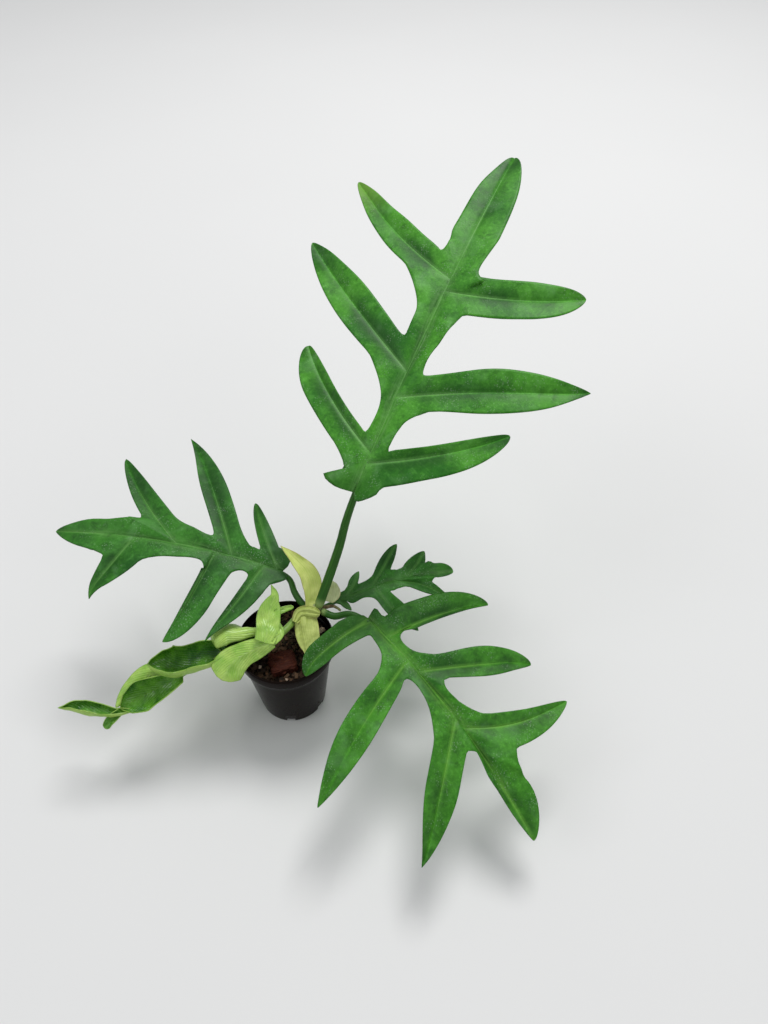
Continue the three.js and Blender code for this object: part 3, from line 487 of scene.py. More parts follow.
class Shader:
    """One material: a principled surface and the nodes that colour it."""

    def __init__(self, name, specular):
        self.material = bpy.data.materials.new(name)
        self.material.use_nodes = True
        self.tree = self.material.node_tree
        self.tree.nodes.clear()
        self.surface = self.tree.nodes.new("ShaderNodeBsdfPrincipled")
        self.surface.inputs["Specular IOR Level"].default_value = specular
        output = self.tree.nodes.new("ShaderNodeOutputMaterial")
        self.tree.links.new(self.surface.outputs["BSDF"], output.inputs["Surface"])

    def feed(self, socket, value):
        if isinstance(value, Term):
            self.tree.links.new(value.socket, socket)
        elif socket.type == "RGBA":
            socket.default_value = (*value, 1.0)
        else:
            socket.default_value = value

    def node(self, kind, settings=None, inputs=None, output=0):
        node = self.tree.nodes.new("ShaderNode" + kind)
        for key, value in (settings or {}).items():
            setattr(node, key, value)
        for key, value in (inputs or {}).items():
            self.feed(node.inputs[key], value)
        return Term(self, node.outputs[output])

    def parts(self, vector):
        split = self.node("SeparateXYZ", inputs={0: vector})
        return [Term(self, socket) for socket in split.socket.node.outputs]

    def attribute(self, name):
        """The three parts of a vector kept on the mesh."""
        return self.parts(self.node("Attribute", {"attribute_name": name}, output="Vector"))

    def space(self):
        return self.node("TexCoord", output="Object")

    def joined(self, x, y, z):
        return self.node("CombineXYZ", inputs={0: x, 1: y, 2: z})

    def clouds(self, size, detail=3.0, rough=0.5, warp=0.0):
        """Noise from 0 to 1 whose features are about `size` mm across."""
        return self.noise_at(self.space(), 1 / (size * MM), detail, rough, warp)

    def grain(self, x, y, z=0.0, detail=3.0, rough=0.5):
        """Noise from 0 to 1 that is drawn out along the smaller of these three."""
        return self.noise_at(self.joined(x, y, z), 1.0, detail, rough, 0.0)

    def noise_at(self, place, scale, detail, rough, warp):
        return self.node("TexNoise", inputs={"Vector": place, "Scale": scale, "Detail": detail,
                                             "Roughness": rough, "Distortion": warp})

    def cells(self, size):
        """Distance from the middles of scattered cells that are about `size` mm across."""
        return self.node("TexVoronoi", inputs={"Vector": self.space(), "Scale": 1 / (size * MM)})

    def mix(self, first, second, share):
        return self.node("Mix", {"data_type": "RGBA"}, {0: share, 6: first, 7: second}, output=2)

    def coated(self, base, *coats):
        """The base colour under coats, each a colour and the share of it that shows."""
        for colour, share in coats:
            base = self.mix(base, colour, share)
        return base

    def finished(self, colour, roughness, detail=None, depth=0.0):
        """The material; `detail`, from 0 to 1, stands `depth` mm high."""
        self.feed(self.surface.inputs["Base Color"], colour)
        self.feed(self.surface.inputs["Roughness"], roughness)
        if detail is not None:
            bump = self.node("Bump", inputs={"Height": detail, "Distance": depth * MM, "Strength": 1.0})
            self.feed(self.surface.inputs["Normal"], bump)
        return self.material


def paler(colour, amount=1.35, lift=0.02):
    return tuple(min(1.0, amount * part + lift) for part in colour)


def deeper(colour, amount):
    return tuple(amount * part for part in colour)


def side_veins(shader, along, across, spacing):
    """Slanting veins off the main one: 0 between them, 1 on each."""
    wobble = (shader.clouds(24, 2) - 0.5) * 0.9
    return ((along - across * 0.85) / spacing + wobble).stripes().rise(0.38, 0.5)


def blade_material(name, tint, spacing, sheen, tip=None):
    """Upper face of a leaf: cloudy green with a painted pale sheen, painted shade in the troughs by the
    veins and near the base, and soft pale veins.
    """
    shader = Shader(name, specular=0.22)
    light, dark, vein = tint["light"], tint["dark"], tint["vein"]
    pale = paler(light, 1.35, 0.03)
    deep = deeper(dark, 0.5)
    along, across, edge = shader.attribute("vein")
    flat_x, flat_y, _ = shader.attribute("blade")
    cloud = shader.clouds(46, 3, 0.55, 0.3)
    blotch = shader.clouds(9, 5, 0.65, 0.6)
    mottle = shader.clouds(2.6, 4, 0.7, 0.3)
    grain = shader.clouds(0.9, 2, 0.6)
    streak = shader.grain(along * 0.05, across * 0.7, 0.0, 3, 0.6)
    # Painted sheen: pale clouds in the colour that stand in for the soft reflection of the bright
    # surroundings.
    painted_sheen = shader.clouds(22, 2, 0.5, 0.8).rise(0.55, 0.8)
    dust = shader.cells(1.6).fall(0.0, 0.42) * shader.clouds(15, 3).rise(0.46, 0.66)
    side_vein = side_veins(shader, along, across, spacing) * across.rise(0.5, 2.5) * edge.rise(1.0, 6.0)
    # Painted shade: a darker band a few mm out from each vein, where the fold turns the blade from the
    # light.
    trough_shade = across.rise(0.6, 2.2) * across.fall(3.0, 12.0) * (abs(along).rise(2.0, 24.0) * 0.7 + 0.3)
    midrib = across.fall(1.0, 8.0) * along.fall(-1.0, 18.0)
    vein_base = across.fall(0.5, 2.6) * along.rise(0.0, 8.0) * along.fall(25.0, 75.0)
    near_vein = across.fall(0.1, 0.8) * along.fall(35.0, 100.0)
    fine_vein = near_vein * (abs(along).rise(0.0, 24.0) * 0.75 + 0.25)
    scratch = streak.rise(0.62, 0.72) * (midrib + vein_base) * 0.7
    body = shader.coated(
        shader.mix(dark, light, (cloud * 0.8 + mottle * 0.4).rise(0.38, 0.76)),
        (pale, blotch.rise(0.52, 0.76) * 0.4),
        (pale, mottle.rise(0.54, 0.7) * cloud.rise(0.35, 0.6) * 0.45),
        (deep, blotch.fall(0.3, 0.5) * 0.5),
        # painted shade in the troughs beside the veins
        (deep, trough_shade * (cloud.fall(0.35, 0.62) * 0.5 + 0.2)),
        (vein, side_vein * 0.03),
        # Painted shade: darker towards the blade's base, where the curled ears and the stalk shade it.
        (deep, flat_y.fall(2.0, 32.0) * 0.6),
        (vein, midrib * streak.rise(0.3, 0.65) * 0.32 + vein_base * 0.28),
        (vein, fine_vein * 0.34),
        (LEAF_DUST, dust * 0.34 + scratch * 0.55),
        # painted sheen
        (LEAF_PAINTED_SHEEN, painted_sheen * 0.18),
    )
    if tip:
        tip_x, tip_y = tip["place"]
        distance = ((flat_x - tip_x) ** 2.0 + (flat_y - tip_y) ** 2.0) ** 0.5
        body = shader.mix(body, tip["colour"], distance.fall(6.0, 62.0) * (0.35 + blotch * 0.5))
    body = shader.mix(body, LEAF_RIM, edge.fall(0.1, 0.5) * cloud.rise(0.4, 0.65) * 0.3)
    detail = mottle * 0.35 + grain * 0.08 - fine_vein * 0.3 - side_vein * 0.07 + blotch * 0.35
    return shader.finished(body, sheen + blotch * 0.14 + dust * 0.3, detail, 0.4)


def underside_material(name, tint, spacing):
    """Lower face of a leaf: paler and duller, with the veins standing proud."""
    shader = Shader(name, specular=0.35)
    along, across, edge = shader.attribute("vein")
    cloud = shader.clouds(38, 3, 0.55)
    grain = shader.clouds(1.1, 2, 0.6)
    side_vein = side_veins(shader, along, across, spacing) * across.rise(0.3, 1.6) * edge.rise(0.5, 4.0)
    main_vein = across.fall(0.3, 1.2)
    body = shader.coated(
        shader.mix(paler(tint["dark"]), paler(tint["light"]), cloud.rise(0.3, 0.75)),
        (paler(tint["vein"]), side_vein * 0.3),
        (paler(tint["vein"]), main_vein * 0.8),
    )
    detail = side_vein * 0.4 + main_vein * 0.7 + grain * 0.1
    return shader.finished(body, 0.55 + cloud * 0.15, detail, 0.35)


def stalk_material(name, tint):
    """A leaf stalk: fine lengthwise stripes and small pale flecks."""
    shader = Shader(name, specular=0.3)
    along, around, share = shader.attribute("bar")
    stripes = shader.grain(along * 0.04, around * 9.0, share, 2)
    cloud = shader.clouds(13, 3)
    fleck = shader.cells(1.3).fall(0.12, 0.3) * cloud.rise(0.45, 0.7)
    body = shader.coated(
        shader.mix(tint["dark"], tint["light"], stripes.rise(0.3, 0.75) * 0.6 + cloud * 0.3),
        (paler(tint["light"], 1.8, 0.05), fleck * 0.4),
        (STALK_FOOT, share.fall(0.003, 0.022) * 0.7),
    )
    return shader.finished(body, 0.34 + cloud * 0.15, stripes * 0.6 + fleck * 0.4, 0.12)


def new_leaf_material(name, tint, sheen):
    """Soft new leaf: parallel side veins that run slantwise from the spine to the edge."""
    shader = Shader(name, specular=0.5)
    along, across, edge = shader.attribute("strap")
    cloud = shader.clouds(15, 3, 0.55, 0.3)
    fine = shader.clouds(2.2, 2)
    wobble = (shader.clouds(10, 2) - 0.5) * 0.8
    groove = ((along * 0.35 - abs(across)) / 1.9 + wobble).stripes().rise(0.25, 0.5)
    spine = abs(across).fall(0.3, 1.1)
    body = shader.coated(
        shader.mix(tint["dark"], tint["light"], cloud.rise(0.3, 0.72)),
        (tint["vein"], groove * 0.25),
        (tint["vein"], spine * 0.15),
        (paler(tint["light"], 1.3, 0.05), fine.rise(0.55, 0.75) * 0.25),
        (deeper(tint["dark"], 0.7), edge.fall(0.2, 0.9) * 0.5),
    )
    detail = 1 - groove * 0.7 - spine * 0.2 + fine * 0.2 + cloud * 0.8
    return shader.finished(body, sheen + fine * 0.12, detail, 0.35)


def sheath_material(name, tint):
    """A papery sheath: close parallel veins that run its whole length."""
    shader = Shader(name, specular=0.4)
    along, across, edge = shader.attribute("strap")
    cloud = shader.clouds(11, 3, 0.6, 0.4)
    threads = shader.grain(along * 0.03, across * 1.4, 0.0, 3, 0.6)
    rib = (across / 1.7 + (cloud - 0.5) * 0.5).stripes().rise(0.34, 0.5)
    body = shader.coated(
        shader.mix(tint["dark"], tint["light"], (cloud * 0.6 + threads * 0.5).rise(0.35, 0.75)),
        (tint["vein"], rib * 0.25),
        (deeper(tint["dark"], 0.62), shader.cells(5.0).fall(0.05, 0.16) * 0.2),
        (DRY_SHEATH_EDGE, edge.fall(0.1, 0.7) * 0.4),
    )
    return shader.finished(body, 0.45 + threads * 0.2, rib * 0.4 + threads * 0.4 + cloud * 0.6, 0.2)


def stem_material():
    """Short jointed stem: pale green with scattered corky scars, browner near the mix."""
    shader = Shader("stem_skin", specular=0.4)
    along, around, share = shader.attribute("bar")
    cloud = shader.clouds(6, 4, 0.6)
    scar = shader.cells(2.4).fall(0.1, 0.35) * cloud.rise(0.4, 0.6)
    stripes = shader.grain(along * 0.08, around * 6.0, 0.0, 2)
    body = shader.coated(
        shader.mix(STEM_SKIN["dark"], STEM_SKIN["light"], stripes.rise(0.3, 0.7)),
        (STEM_SKIN["low"], share.fall(0.3, 0.75) * cloud.rise(0.3, 0.6)),
        (STEM_SKIN["high"], share.rise(0.75, 1.0) * 0.7),
        (STEM_SKIN["scar"], scar * 0.6),
    )
    detail = cloud * 0.5 + stripes * 0.3 - scar * 0.3
    return shader.finished(body, 0.5 + cloud * 0.25, detail, 0.5)


def root_material():
    """Rough brown aerial root that turns green towards its growing tip."""
    shader = Shader("aerial_root_skin", specular=0.3)
    share = shader.attribute("bar")[2]
    cloud = shader.clouds(3, 4, 0.6)
    body = shader.mix(ROOT_SKIN["dark"], ROOT_SKIN["light"], cloud.rise(0.35, 0.7))
    body = shader.mix(body, ROOT_SKIN["tip"], share.rise(0.5, 1.0) * 0.6)
    return shader.finished(body, 0.65 + cloud * 0.2, cloud, 0.4)


def mix_material():
    """Dark damp mix between the chips."""
    shader = Shader("potting_mix_crumb", specular=0.3)
    crumb = shader.clouds(2.4, 5, 0.7)
    damp = shader.clouds(13, 3)
    fibre = shader.cells(1.6).fall(0.05, 0.4)
    body = shader.mix(MIX_CRUMB["dark"], MIX_CRUMB["light"], crumb.rise(0.35, 0.75))
    body = shader.mix(body, MIX_CRUMB["fibre"], fibre * damp.rise(0.45, 0.65) * 0.6)
    return shader.finished(body, 0.55 + crumb * 0.4, crumb * 0.7 + fibre * 0.3, 1.2)


def bark_material(name, tint, sheen):
    """Bark: layered along the piece, with rusty flakes."""
    shader = Shader(name, specular=0.18)
    along, around, seed = shader.attribute("chip")
    layers = shader.grain(along * 0.25, around * 2.2, seed * 40.0, 4, 0.65)
    rust = shader.clouds(3.5, 3, 0.6)
    body = shader.mix(tint["dark"], tint["light"], (layers * 0.7 + seed * 0.5).rise(0.35, 0.95))
    body = shader.mix(body, tint["flake"], rust.rise(0.56, 0.75) * 0.6)
    return shader.finished(body, sheen + layers * 0.25, layers, 0.7)


def pot_material():
    """Black polythene: glossy, faintly brown, with drag lines and a little dried mix."""
    shader = Shader("pot_black_plastic", specular=0.05)
    x, y, z = shader.parts(shader.space())
    drag = shader.grain(x * 900.0, y * 900.0, z * 45.0, 3, 0.6)
    cloud = shader.clouds(19, 3)
    dirt = shader.clouds(3.2, 5, 0.7).rise(0.56, 0.68) * cloud.rise(0.4, 0.65)
    body = shader.mix(POT_PLASTIC["dark"], POT_PLASTIC["light"], cloud)
    body = shader.mix(body, POT_PLASTIC["dirt"], dirt * 0.4)
    return shader.finished(body, 0.16 + drag * 0.12 + dirt * 0.45, drag * 0.5 + dirt * 0.5, 0.03)


def floor_material():
    """Plain pale studio paper."""
    shader = Shader("studio_floor", specular=0.2)
    cloud = shader.clouds(900, 3)
    body = shader.mix(FLOOR_PAPER["dark"], FLOOR_PAPER["light"], cloud)
    return shader.finished(body, 0.85 + cloud * 0.05)


# Mesh helpers

def mesh_with(*names):
    """An empty mesh that keeps a vector of each of these names at its corners."""
    bm = bmesh.new()
    return bm, *(bm.verts.layers.float_vector.new(name) for name in names)


def patch(bm, long_steps, cross_steps, place, layers, flip=False):
    """A grid whose corners are moved by place(i, j), which also gives the values kept on them."""
    made = bmesh.ops.create_grid(bm, x_segments=long_steps, y_segments=cross_steps, size=1.0)
    for vert in made["verts"]:
        i = round((vert.co.x + 1) / 2 * long_steps)
        j = round((vert.co.y + 1) / 2 * cross_steps)
        point, values = place(i, j)
        vert.co = Vector(point) * MM
        for layer, value in zip(layers, values):
            vert[layer] = Vector(value)
    if flip:
        faces = {face for vert in made["verts"] for face in vert.link_faces}
        bmesh.ops.reverse_faces(bm, faces=list(faces))


def finish_piece(bm, name, materials, node, wall=0.0, merge=MERGE, smooth=True):
    """The finished object: doubles merged, a wall where it has one, parented to the root and its CAD node
    hidden.
    """
    bmesh.ops.remove_doubles(bm, verts=bm.verts, dist=merge * MM)
    bmesh.ops.dissolve_degenerate(bm, edges=bm.edges, dist=merge * MM * 0.5)
    mesh = bpy.data.meshes.new(name)
    bm.to_mesh(mesh)
    bm.free()
    for polygon in mesh.polygons:
        polygon.use_smooth = smooth
    for material in materials:
        mesh.materials.append(material)
    piece = bpy.data.objects.new(name, mesh)
    bpy.context.scene.collection.objects.link(piece)
    if wall:
        skin = piece.modifiers.new("wall", "SOLIDIFY")
        skin.thickness = wall * MM
        skin.offset = 0.0
        skin.use_quality_normals = True
        if len(materials) > 1:
            skin.material_offset = 1
            skin.material_offset_rim = 0
    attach(piece, "root")
    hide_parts(node)
    return piece


def lerp(a, b, share):
    return a + (b - a) * share


def polar(radius, angle):
    return radius * math.cos(angle), radius * math.sin(angle)


def hermite(here, there, leave, arrive, t):
    """Smooth curve from here to there that leaves and arrives in the given directions."""
    t2, t3 = t ** 2, t ** 3
    return (here * (2 * t3 - 3 * t2 + 1) + leave * (t3 - 2 * t2 + t)
            + there * (3 * t2 - 2 * t3) + arrive * (t3 - t2))


def neighbours(knots, step):
    """The two knots at a step of a line, between the knots before and after them."""
    here, there = knots[step], knots[step + 1]
    before = knots[step - 1] if step > 0 else here * 2 - there
    after = knots[step + 2] if step + 2 < len(knots) else there * 2 - here
    return before, here, there, after


def spline_point(knots, place):
    """Smooth curve through the knots; place 2.5 is halfway from the third to the fourth."""
    step = max(0, min(int(math.floor(place)), len(knots) - 2))
    before, here, there, after = neighbours(knots, step)
    return hermite(here, there, (there - before) * 0.5, (after - here) * 0.5, place - step)


def uneven_spline_point(knots, step, share):
    """Smooth curve between two knots of a line whose knots are unevenly spaced."""
    near = neighbours(knots, step)
    before, here, there, after = near
    first, second, third = ((b - a).length ** 0.5 for a, b in zip(near, near[1:]))
    leave = (here - before) / first - (there - before) / (first + second) + (there - here) / second
    arrive = (there - here) / second - (after - here) / (second + third) + (after - there) / third
    return hermite(here, there, leave * second, arrive * second, share)


def points_along(fine, shares):
    """The points at these shares of a fine line's length, and that length."""
    marks = [0.0]
    for a, b in zip(fine, fine[1:]):
        marks.append(marks[-1] + (b - a).length)
    points = []
    k = 0
    for share in shares:
        goal = marks[-1] * share
        while k < len(fine) - 2 and marks[k + 1] < goal:
            k += 1
        span = marks[k + 1] - marks[k]
        points.append(fine[k].lerp(fine[k + 1], (goal - marks[k]) / span if span else 0.0))
    return points, marks[-1]


def even_path(points, count):
    """Points at even distances along the smooth curve, with the whole length."""
    knots = [Vector(p) for p in points]
    fine = [spline_point(knots, k * (len(knots) - 1) / FINE_STEPS) for k in range(FINE_STEPS + 1)]
    return points_along(fine, [i / count for i in range(count + 1)])


def tangents(path):
    ends = [path[0] * 2 - path[1], *path, path[-1] * 2 - path[-2]]
    return [(after - before).normalized() for before, after in zip(ends, ends[2:])]


def along_list(values, share):
    """Smooth value along a list that is spread evenly from 0 to 1."""
    return spline_point(values, share * (len(values) - 1))


def bar(bm, layer, points, radius_at, steps, sides, knobs=0.0, seed=0):
    """A closed round bar along a smooth curve, made of a rolled grid and two end caps."""
    path, total = even_path(points, steps)
    ways = tangents(path)
    side = ways[0].orthogonal().normalized()
    frames = []
    for way in ways:
        side = (side - way * side.dot(way)).normalized()
        frames.append((side.copy(), way.cross(side)))

    def place(i, j):
        share = i / steps
        angle = TURN * (j % sides) / sides
        out = frames[i][0] * math.cos(angle) + frames[i][1] * math.sin(angle)
        radius = radius_at(share)
        radius += knobs * noise.noise((path[i] + out * radius) * KNOB_SCALE + Vector((seed, 0, 0)))
        point = path[i] + out * radius
        if i in (0, steps):
            point += ways[i] * (CAP_BULGE * radius if i else -CAP_BULGE * radius)
            point = path[i].lerp(point, CAP_PULL)
        return point, [(total * share, math.cos(angle), share)]

    before = set(bm.verts)
    patch(bm, steps, sides, place, [layer], flip=True)
    made = [v for v in bm.verts if v not in before]
    bmesh.ops.remove_doubles(bm, verts=made, dist=BAR_MERGE * MM)
    made = [v for v in bm.verts if v not in before]
    edges = {e for v in made for e in v.link_edges if e.is_boundary}
    bmesh.ops.holes_fill(bm, edges=list(edges), sides=sides)


def make_bar(name, material, node, slot, points, radius_at, **form):
    """A piece that is one bar."""
    bm, layer = mesh_with("bar")
    bar(bm, layer, points, radius_at, **form)
    finish_piece(bm, name, [material], node)


# Leaves

def rib_point(leaf, y):
    """Point of the flat midrib at this distance from the stalk's end."""
    share = y / leaf["length"]
    return Vector((leaf["shift"] * share ** 2 + leaf["sway"] * math.sin(math.pi * y / leaf["length"]), y))


def vein_point(leaf, part, t):
    """Point and direction of a lobe's vein, or of the midrib in the tip of the leaf."""
    if "tip" not in part:
        y = lerp(part["root"], leaf["length"], t)
        return rib_point(leaf, y), (rib_point(leaf, y + 1) - rib_point(leaf, y - 1)).normalized()
    root = rib_point(leaf, part["root"])
    tip = Vector(part["tip"])
    reach = tip - root
    across = Vector((-reach.y, reach.x)).normalized()
    if across.y < 0:
        across = -across
    middle = (root + tip) / 2 + across * part["bow"] * 2
    bend = max(0.0, (t - HOOK_START) / (1 - HOOK_START))
    hook = across * part["hook"] * bend
    point = root * (1 - t) ** 2 + middle * 2 * t * (1 - t) + tip * t * t + hook * bend
    way = (middle - root) * (1 - t) + (tip - middle) * t + hook / (1 - HOOK_START)
    return point, way.normalized()


def half_width(part, width, t):
    """Width of a lobe on one side of its vein: from its neck out to its belly, then in to its tip."""
    belly = part["belly"]
    if t < belly:
        return width * lerp(part["neck"], 1, 0.5 - 0.5 * math.cos(math.pi * t / belly))
    return width * max(0.0, math.cos(math.pi / 2 * (t - belly) / (1 - belly))) ** part["blunt"]


def flank_point(leaf, part, way, t):
    """Edge of a lobe: way is 1 towards the leaf's tip, -1 towards its base, a side at the apex."""
    point, along = vein_point(leaf, part, t)
    across = Vector((-along.y, along.x))
    if "tip" in part:
        reach = Vector(part["tip"]) - rib_point(leaf, part["root"])
        if across.dot(Vector((-reach.y, reach.x)) * (1 if reach.x > 0 else -1)) < 0:
            across = -across
        width = part["upper"] if way > 0 else part["lower"]
        return point + across * way * half_width(part, width, t)
    width = part["right"] if way > 0 else part["left"]
    return point - across * way * half_width(part, width, t)


def lobe_length(leaf, part):
    if "tip" in part:
        return (Vector(part["tip"]) - rib_point(leaf, part["root"])).length
    return leaf["length"] - part["root"]


def lobe_shares(leaf, part):
    """Places along a lobe's vein, from its root to its tip, closer together near the tip."""
    count = max(LOBE_FEWEST_STEPS, round(lobe_length(leaf, part) / LOBE_STEP))
    return [math.sin(math.pi / 2 * k / count) ** LOBE_CROWDING for k in range(1, count + 1)]


def rib_stops(leaf):
    """Places along the midrib, with one at the root of every lobe."""
    roots = sorted({0, leaf["apex"]["root"], *(part["root"] for part in leaf["left"] + leaf["right"])})
    stops = [roots[0]]
    for low, high in zip(roots, roots[1:]):
        pieces = max(1, math.ceil((high - low) / RIB_STEP))
        stops += [lerp(low, high, k / pieces) for k in range(1, pieces + 1)]
    return stops


def region_chains(leaf, side, number):
    """Inner chain (down one vein, along the midrib, up the next) and the edge in step with it.

    The third list holds marks: the distance from the nearest root, counted along the vein.
    """
    lobes = leaf["right"] if side > 0 else leaf["left"]
    edge = (leaf["right_margins"] if side > 0 else leaf["left_margins"])[number]
    leave, join = edge["leave"], edge["join"]
    below = lobes[number - 1] if number > 0 else None
    above = lobes[number] if number < len(lobes) else leaf["apex"]
    above_way = -1 if "tip" in above else side
    start = below["root"] if below else 0
    inner, outer, marks = [], [], []

    def follow_vein(part, way, shares, free_from):
        for t in shares:
            inner.append(vein_point(leaf, part, t)[0])
            outer.append(flank_point(leaf, part, way, t) if t > free_from + FLANK_MARGIN else None)
            marks.append(lobe_length(leaf, part) * t)

    if below:
        follow_vein(below, 1, reversed(lobe_shares(leaf, below)), leave)
        guide = [flank_point(leaf, below, 1, leave + FLANK_LEAD), flank_point(leaf, below, 1, leave)]
    else:
        guide = [Vector((-side * EAR_CORNER, 0)), Vector((0, 0))]
    for y in rib_stops(leaf):
        if start <= y <= above["root"]:
            inner.append(rib_point(leaf, y))
            outer.append(None)
            marks.append(-min(y - start, above["root"] - y))
    follow_vein(above, above_way, lobe_shares(leaf, above), join)
    guide += [Vector(p) for p in edge["turns"]]
    guide += [flank_point(leaf, above, above_way, join + lead) for lead in (0, FLANK_LEAD)]
    steps = range(1, len(guide) - 2)
    fine = [uneven_spline_point(guide, step, k / GUIDE_STEPS) for step in steps for k in range(GUIDE_STEPS)]
    gaps = outer.count(None)
    shares = [(i + 1) / (gaps + 1) if below else i / gaps for i in range(gaps)]
    turn_line = points_along([*fine, guide[-2]], shares)[0]
    outer = [turn_line.pop(0) if point is None else point for point in outer]
    return inner, outer, marks


def blade_placer(leaf):
    """From flat blade coordinates to space: the midrib bends down from the stalk's end."""
    heading, rise, roll = (math.radians(leaf[key]) for key in ("heading", "rise", "roll"))
    along = Vector((math.cos(heading) * math.cos(rise), math.sin(heading) * math.cos(rise), math.sin(rise)))
    level = Vector((math.sin(heading), -math.cos(heading), 0))
    across = level * math.cos(roll) + level.cross(along) * math.sin(roll)
    normal = across.cross(along)
    radius = leaf["length"] / math.radians(leaf["sag"])
    base = Vector(leaf["base"])

    def place(x, y, z):
        angle = y / radius
        height = z - leaf["droop"] * x * x / DROOP_REACH
        return (base + along * (radius + height) * math.sin(angle) + across * x
                + normal * (radius * (math.cos(angle) - 1) + height * math.cos(angle)))

    return place


def blade_height(leaf, flat, q, across, mark, shift):
    """Height of the blade over its veins: a fold, a swell, a groove, ripples and the curled ears."""
    ripple = math.sin(mark / RIPPLE_LENGTH + shift) + 0.5 * math.sin(mark / LONG_RIPPLE_LENGTH + 2 * shift)
    ripple *= leaf["ripple"] * q ** 2 * min(1.0, across / RIPPLE_REACH)
    groove = GROOVE_DEPTH * math.exp(-(across / GROOVE_WIDTH) ** 2)
    from_junction = min(1.0, abs(mark) / JUNCTION_REACH)
    fullness = lerp(JUNCTION_SWELL, 1.0, from_junction ** 2 * (3 - 2 * from_junction))
    swell = BLADE_SWELL * fullness * (1 - math.exp(-across / SWELL_REACH))
    ear = max(0.0, 1 - flat.y / EAR_LENGTH) ** 2 * min(1.0, abs(flat.x) / EAR_WIDTH)
    return FOLD * across + swell + ripple - groove + leaf["ears"] * ear


def make_blade(name, leaf, materials, node):
    """The blade, region by region: each is a grid from the veins out to the edge."""
    place_flat = blade_placer(leaf)
    bm, vein_layer, blade_layer = mesh_with("vein", "blade")
    for side, margins in ((-1, leaf["left_margins"]), (1, leaf["right_margins"])):
        for number in range(len(margins)):
            inner, outer, marks = region_chains(leaf, side, number)

            def place(i, j):
                q = (j / BLADE_ROWS) ** ROW_CROWDING
                flat = inner[i].lerp(outer[i], q)
                reach = (outer[i] - inner[i]).length
                height = blade_height(leaf, flat, q, q * reach, marks[i], EDGE_SHIFT * number + side)
                values = [(marks[i], q * reach, (1 - q) * reach), (flat.x, flat.y, 0.0)]
                return place_flat(flat.x, flat.y, height), values

            patch(bm, len(inner) - 1, BLADE_ROWS, place, [vein_layer, blade_layer], flip=side > 0)
    finish_piece(bm, name, materials, node, wall=BLADE_THICKNESS)


def make_stalk(name, leaf, material, node, slot):
    """The petiole and, in one piece with it, the rib under the blade."""
    place_flat = blade_placer(leaf)
    thick, thin = leaf["petiole_radius"], leaf["rib_radius"]
    points = list(leaf["petiole"])
    for share in RIB_SHARES:
        x, y = rib_point(leaf, share * leaf["length"])
        points.append(place_flat(x, y, -thin * (1 - RIB_TAPER * share) - RIB_DEPTH))
    lengths = [(Vector(b) - Vector(a)).length for a, b in zip(points, points[1:])]
    bend = sum(lengths[:len(leaf["petiole"])]) / sum(lengths)

    def radius_at(share):
        if share < bend:
            return lerp(STALK_FOOT_SWELL * thick, thin, (share / bend) ** 2)
        return thin * (1 - RIB_TAPER * (share - bend) / (1 - bend))

    make_bar(name, material, node, slot, points, radius_at,
             steps=STALK_STEPS, sides=STALK_SIDES, knobs=0.12, seed=3)


def make_leaf(key, leaf, slot, spacing, sheen, tip=None):
    """One flat leaf: its blade with two faces, and its stalk."""
    tint = LEAF_TINTS[key]
    name = "leaf_" + key
    face = blade_material(name + "_face", tint, spacing, sheen, tip)
    under = underside_material(name + "_underside", tint, spacing)
    stalk = stalk_material(name + "_stalk", LEAF_STALK)
    make_blade(name + "_blade", leaf, [face, under], name)
    make_stalk(name + "_stalk", leaf, stalk, name, slot)


# Curled straps: lobes of the new leaf, and sheaths

def strap(bm, layer, part, grid, ruffle, wrinkle, turn, crease=FINE_CREASE):
    """A curled ribbon along its spine: it opens to the side that its face looks at."""
    rows, columns = grid
    path, total = even_path(part["spine"], rows)
    ways = tangents(path)
    widths = part["widths"]
    curl = math.radians(part["curl"])

    def place(i, j):
        share = i / rows
        facing = Vector(part["face"])
        facing = (facing - ways[i] * facing.dot(ways[i])).normalized()
        across = ways[i].cross(facing)
        half = max(0.0, along_list(widths, share))
        if widths[-1] > 0:
            half *= min(1.0, math.sqrt(max(0.0, 1 - share) * END_ROUNDING))
        radius = half / (curl / 2)
        offset = 2 * j / columns - 1
        angle = curl / 2 * offset
        point = path[i] + across * radius * math.sin(angle) + facing * radius * (1 - math.cos(angle))
        lag = RUFFLE_LAG if offset > 0 else 0
        wave = ruffle * offset ** 2 * math.sin(total * share / RUFFLE_LENGTH + turn + lag)
        rumple = noise.noise(point * RUMPLE_SCALE + Vector((turn, 0, 0)))
        rumple = wrinkle * (rumple + crease * noise.noise(point * CREASE_SCALE))
        rumple += part.get("pleat", 0.0) * math.sin(PLEATS * offset + PLEAT_SLANT * share)
        keel = KEEL_DEPTH * math.exp(-(half * offset / KEEL_WIDTH) ** 2)
        point += facing * ((wave + rumple - keel) * min(1.0, half / FULL_HALF_WIDTH))
        return point, [(total * share, half * offset, half * (1 - abs(offset)))]

    patch(bm, rows, columns, place, [layer])


def make_new_leaf(outer, inner, stalk):
    """The new leaf: its rolled lobes, its open ones, and the bent rib that they grow from."""
    groups = [("leaf_new_rolled_lobes", NEW_LEAF_ROLLS, [outer, inner]),
              ("leaf_new_open_lobes", NEW_LEAF_OPEN, [outer])]
    for name, lobes, materials in groups:
        bm, layer = mesh_with("strap")
        for number, part in enumerate(lobes):
            strap(bm, layer, part, NEW_LEAF_GRID, ruffle=0.5, wrinkle=1.4, turn=1.3 * number)
        finish_piece(bm, name, materials, "leaf_new", wall=NEW_LEAF_WALL)
    make_bar("leaf_new_rib", stalk, "leaf_new", "leaf_new_green", NEW_LEAF_RIB,
             lambda share: along_list(NEW_LEAF_RIB_RADII, share), steps=120, sides=16, knobs=0.4, seed=9)


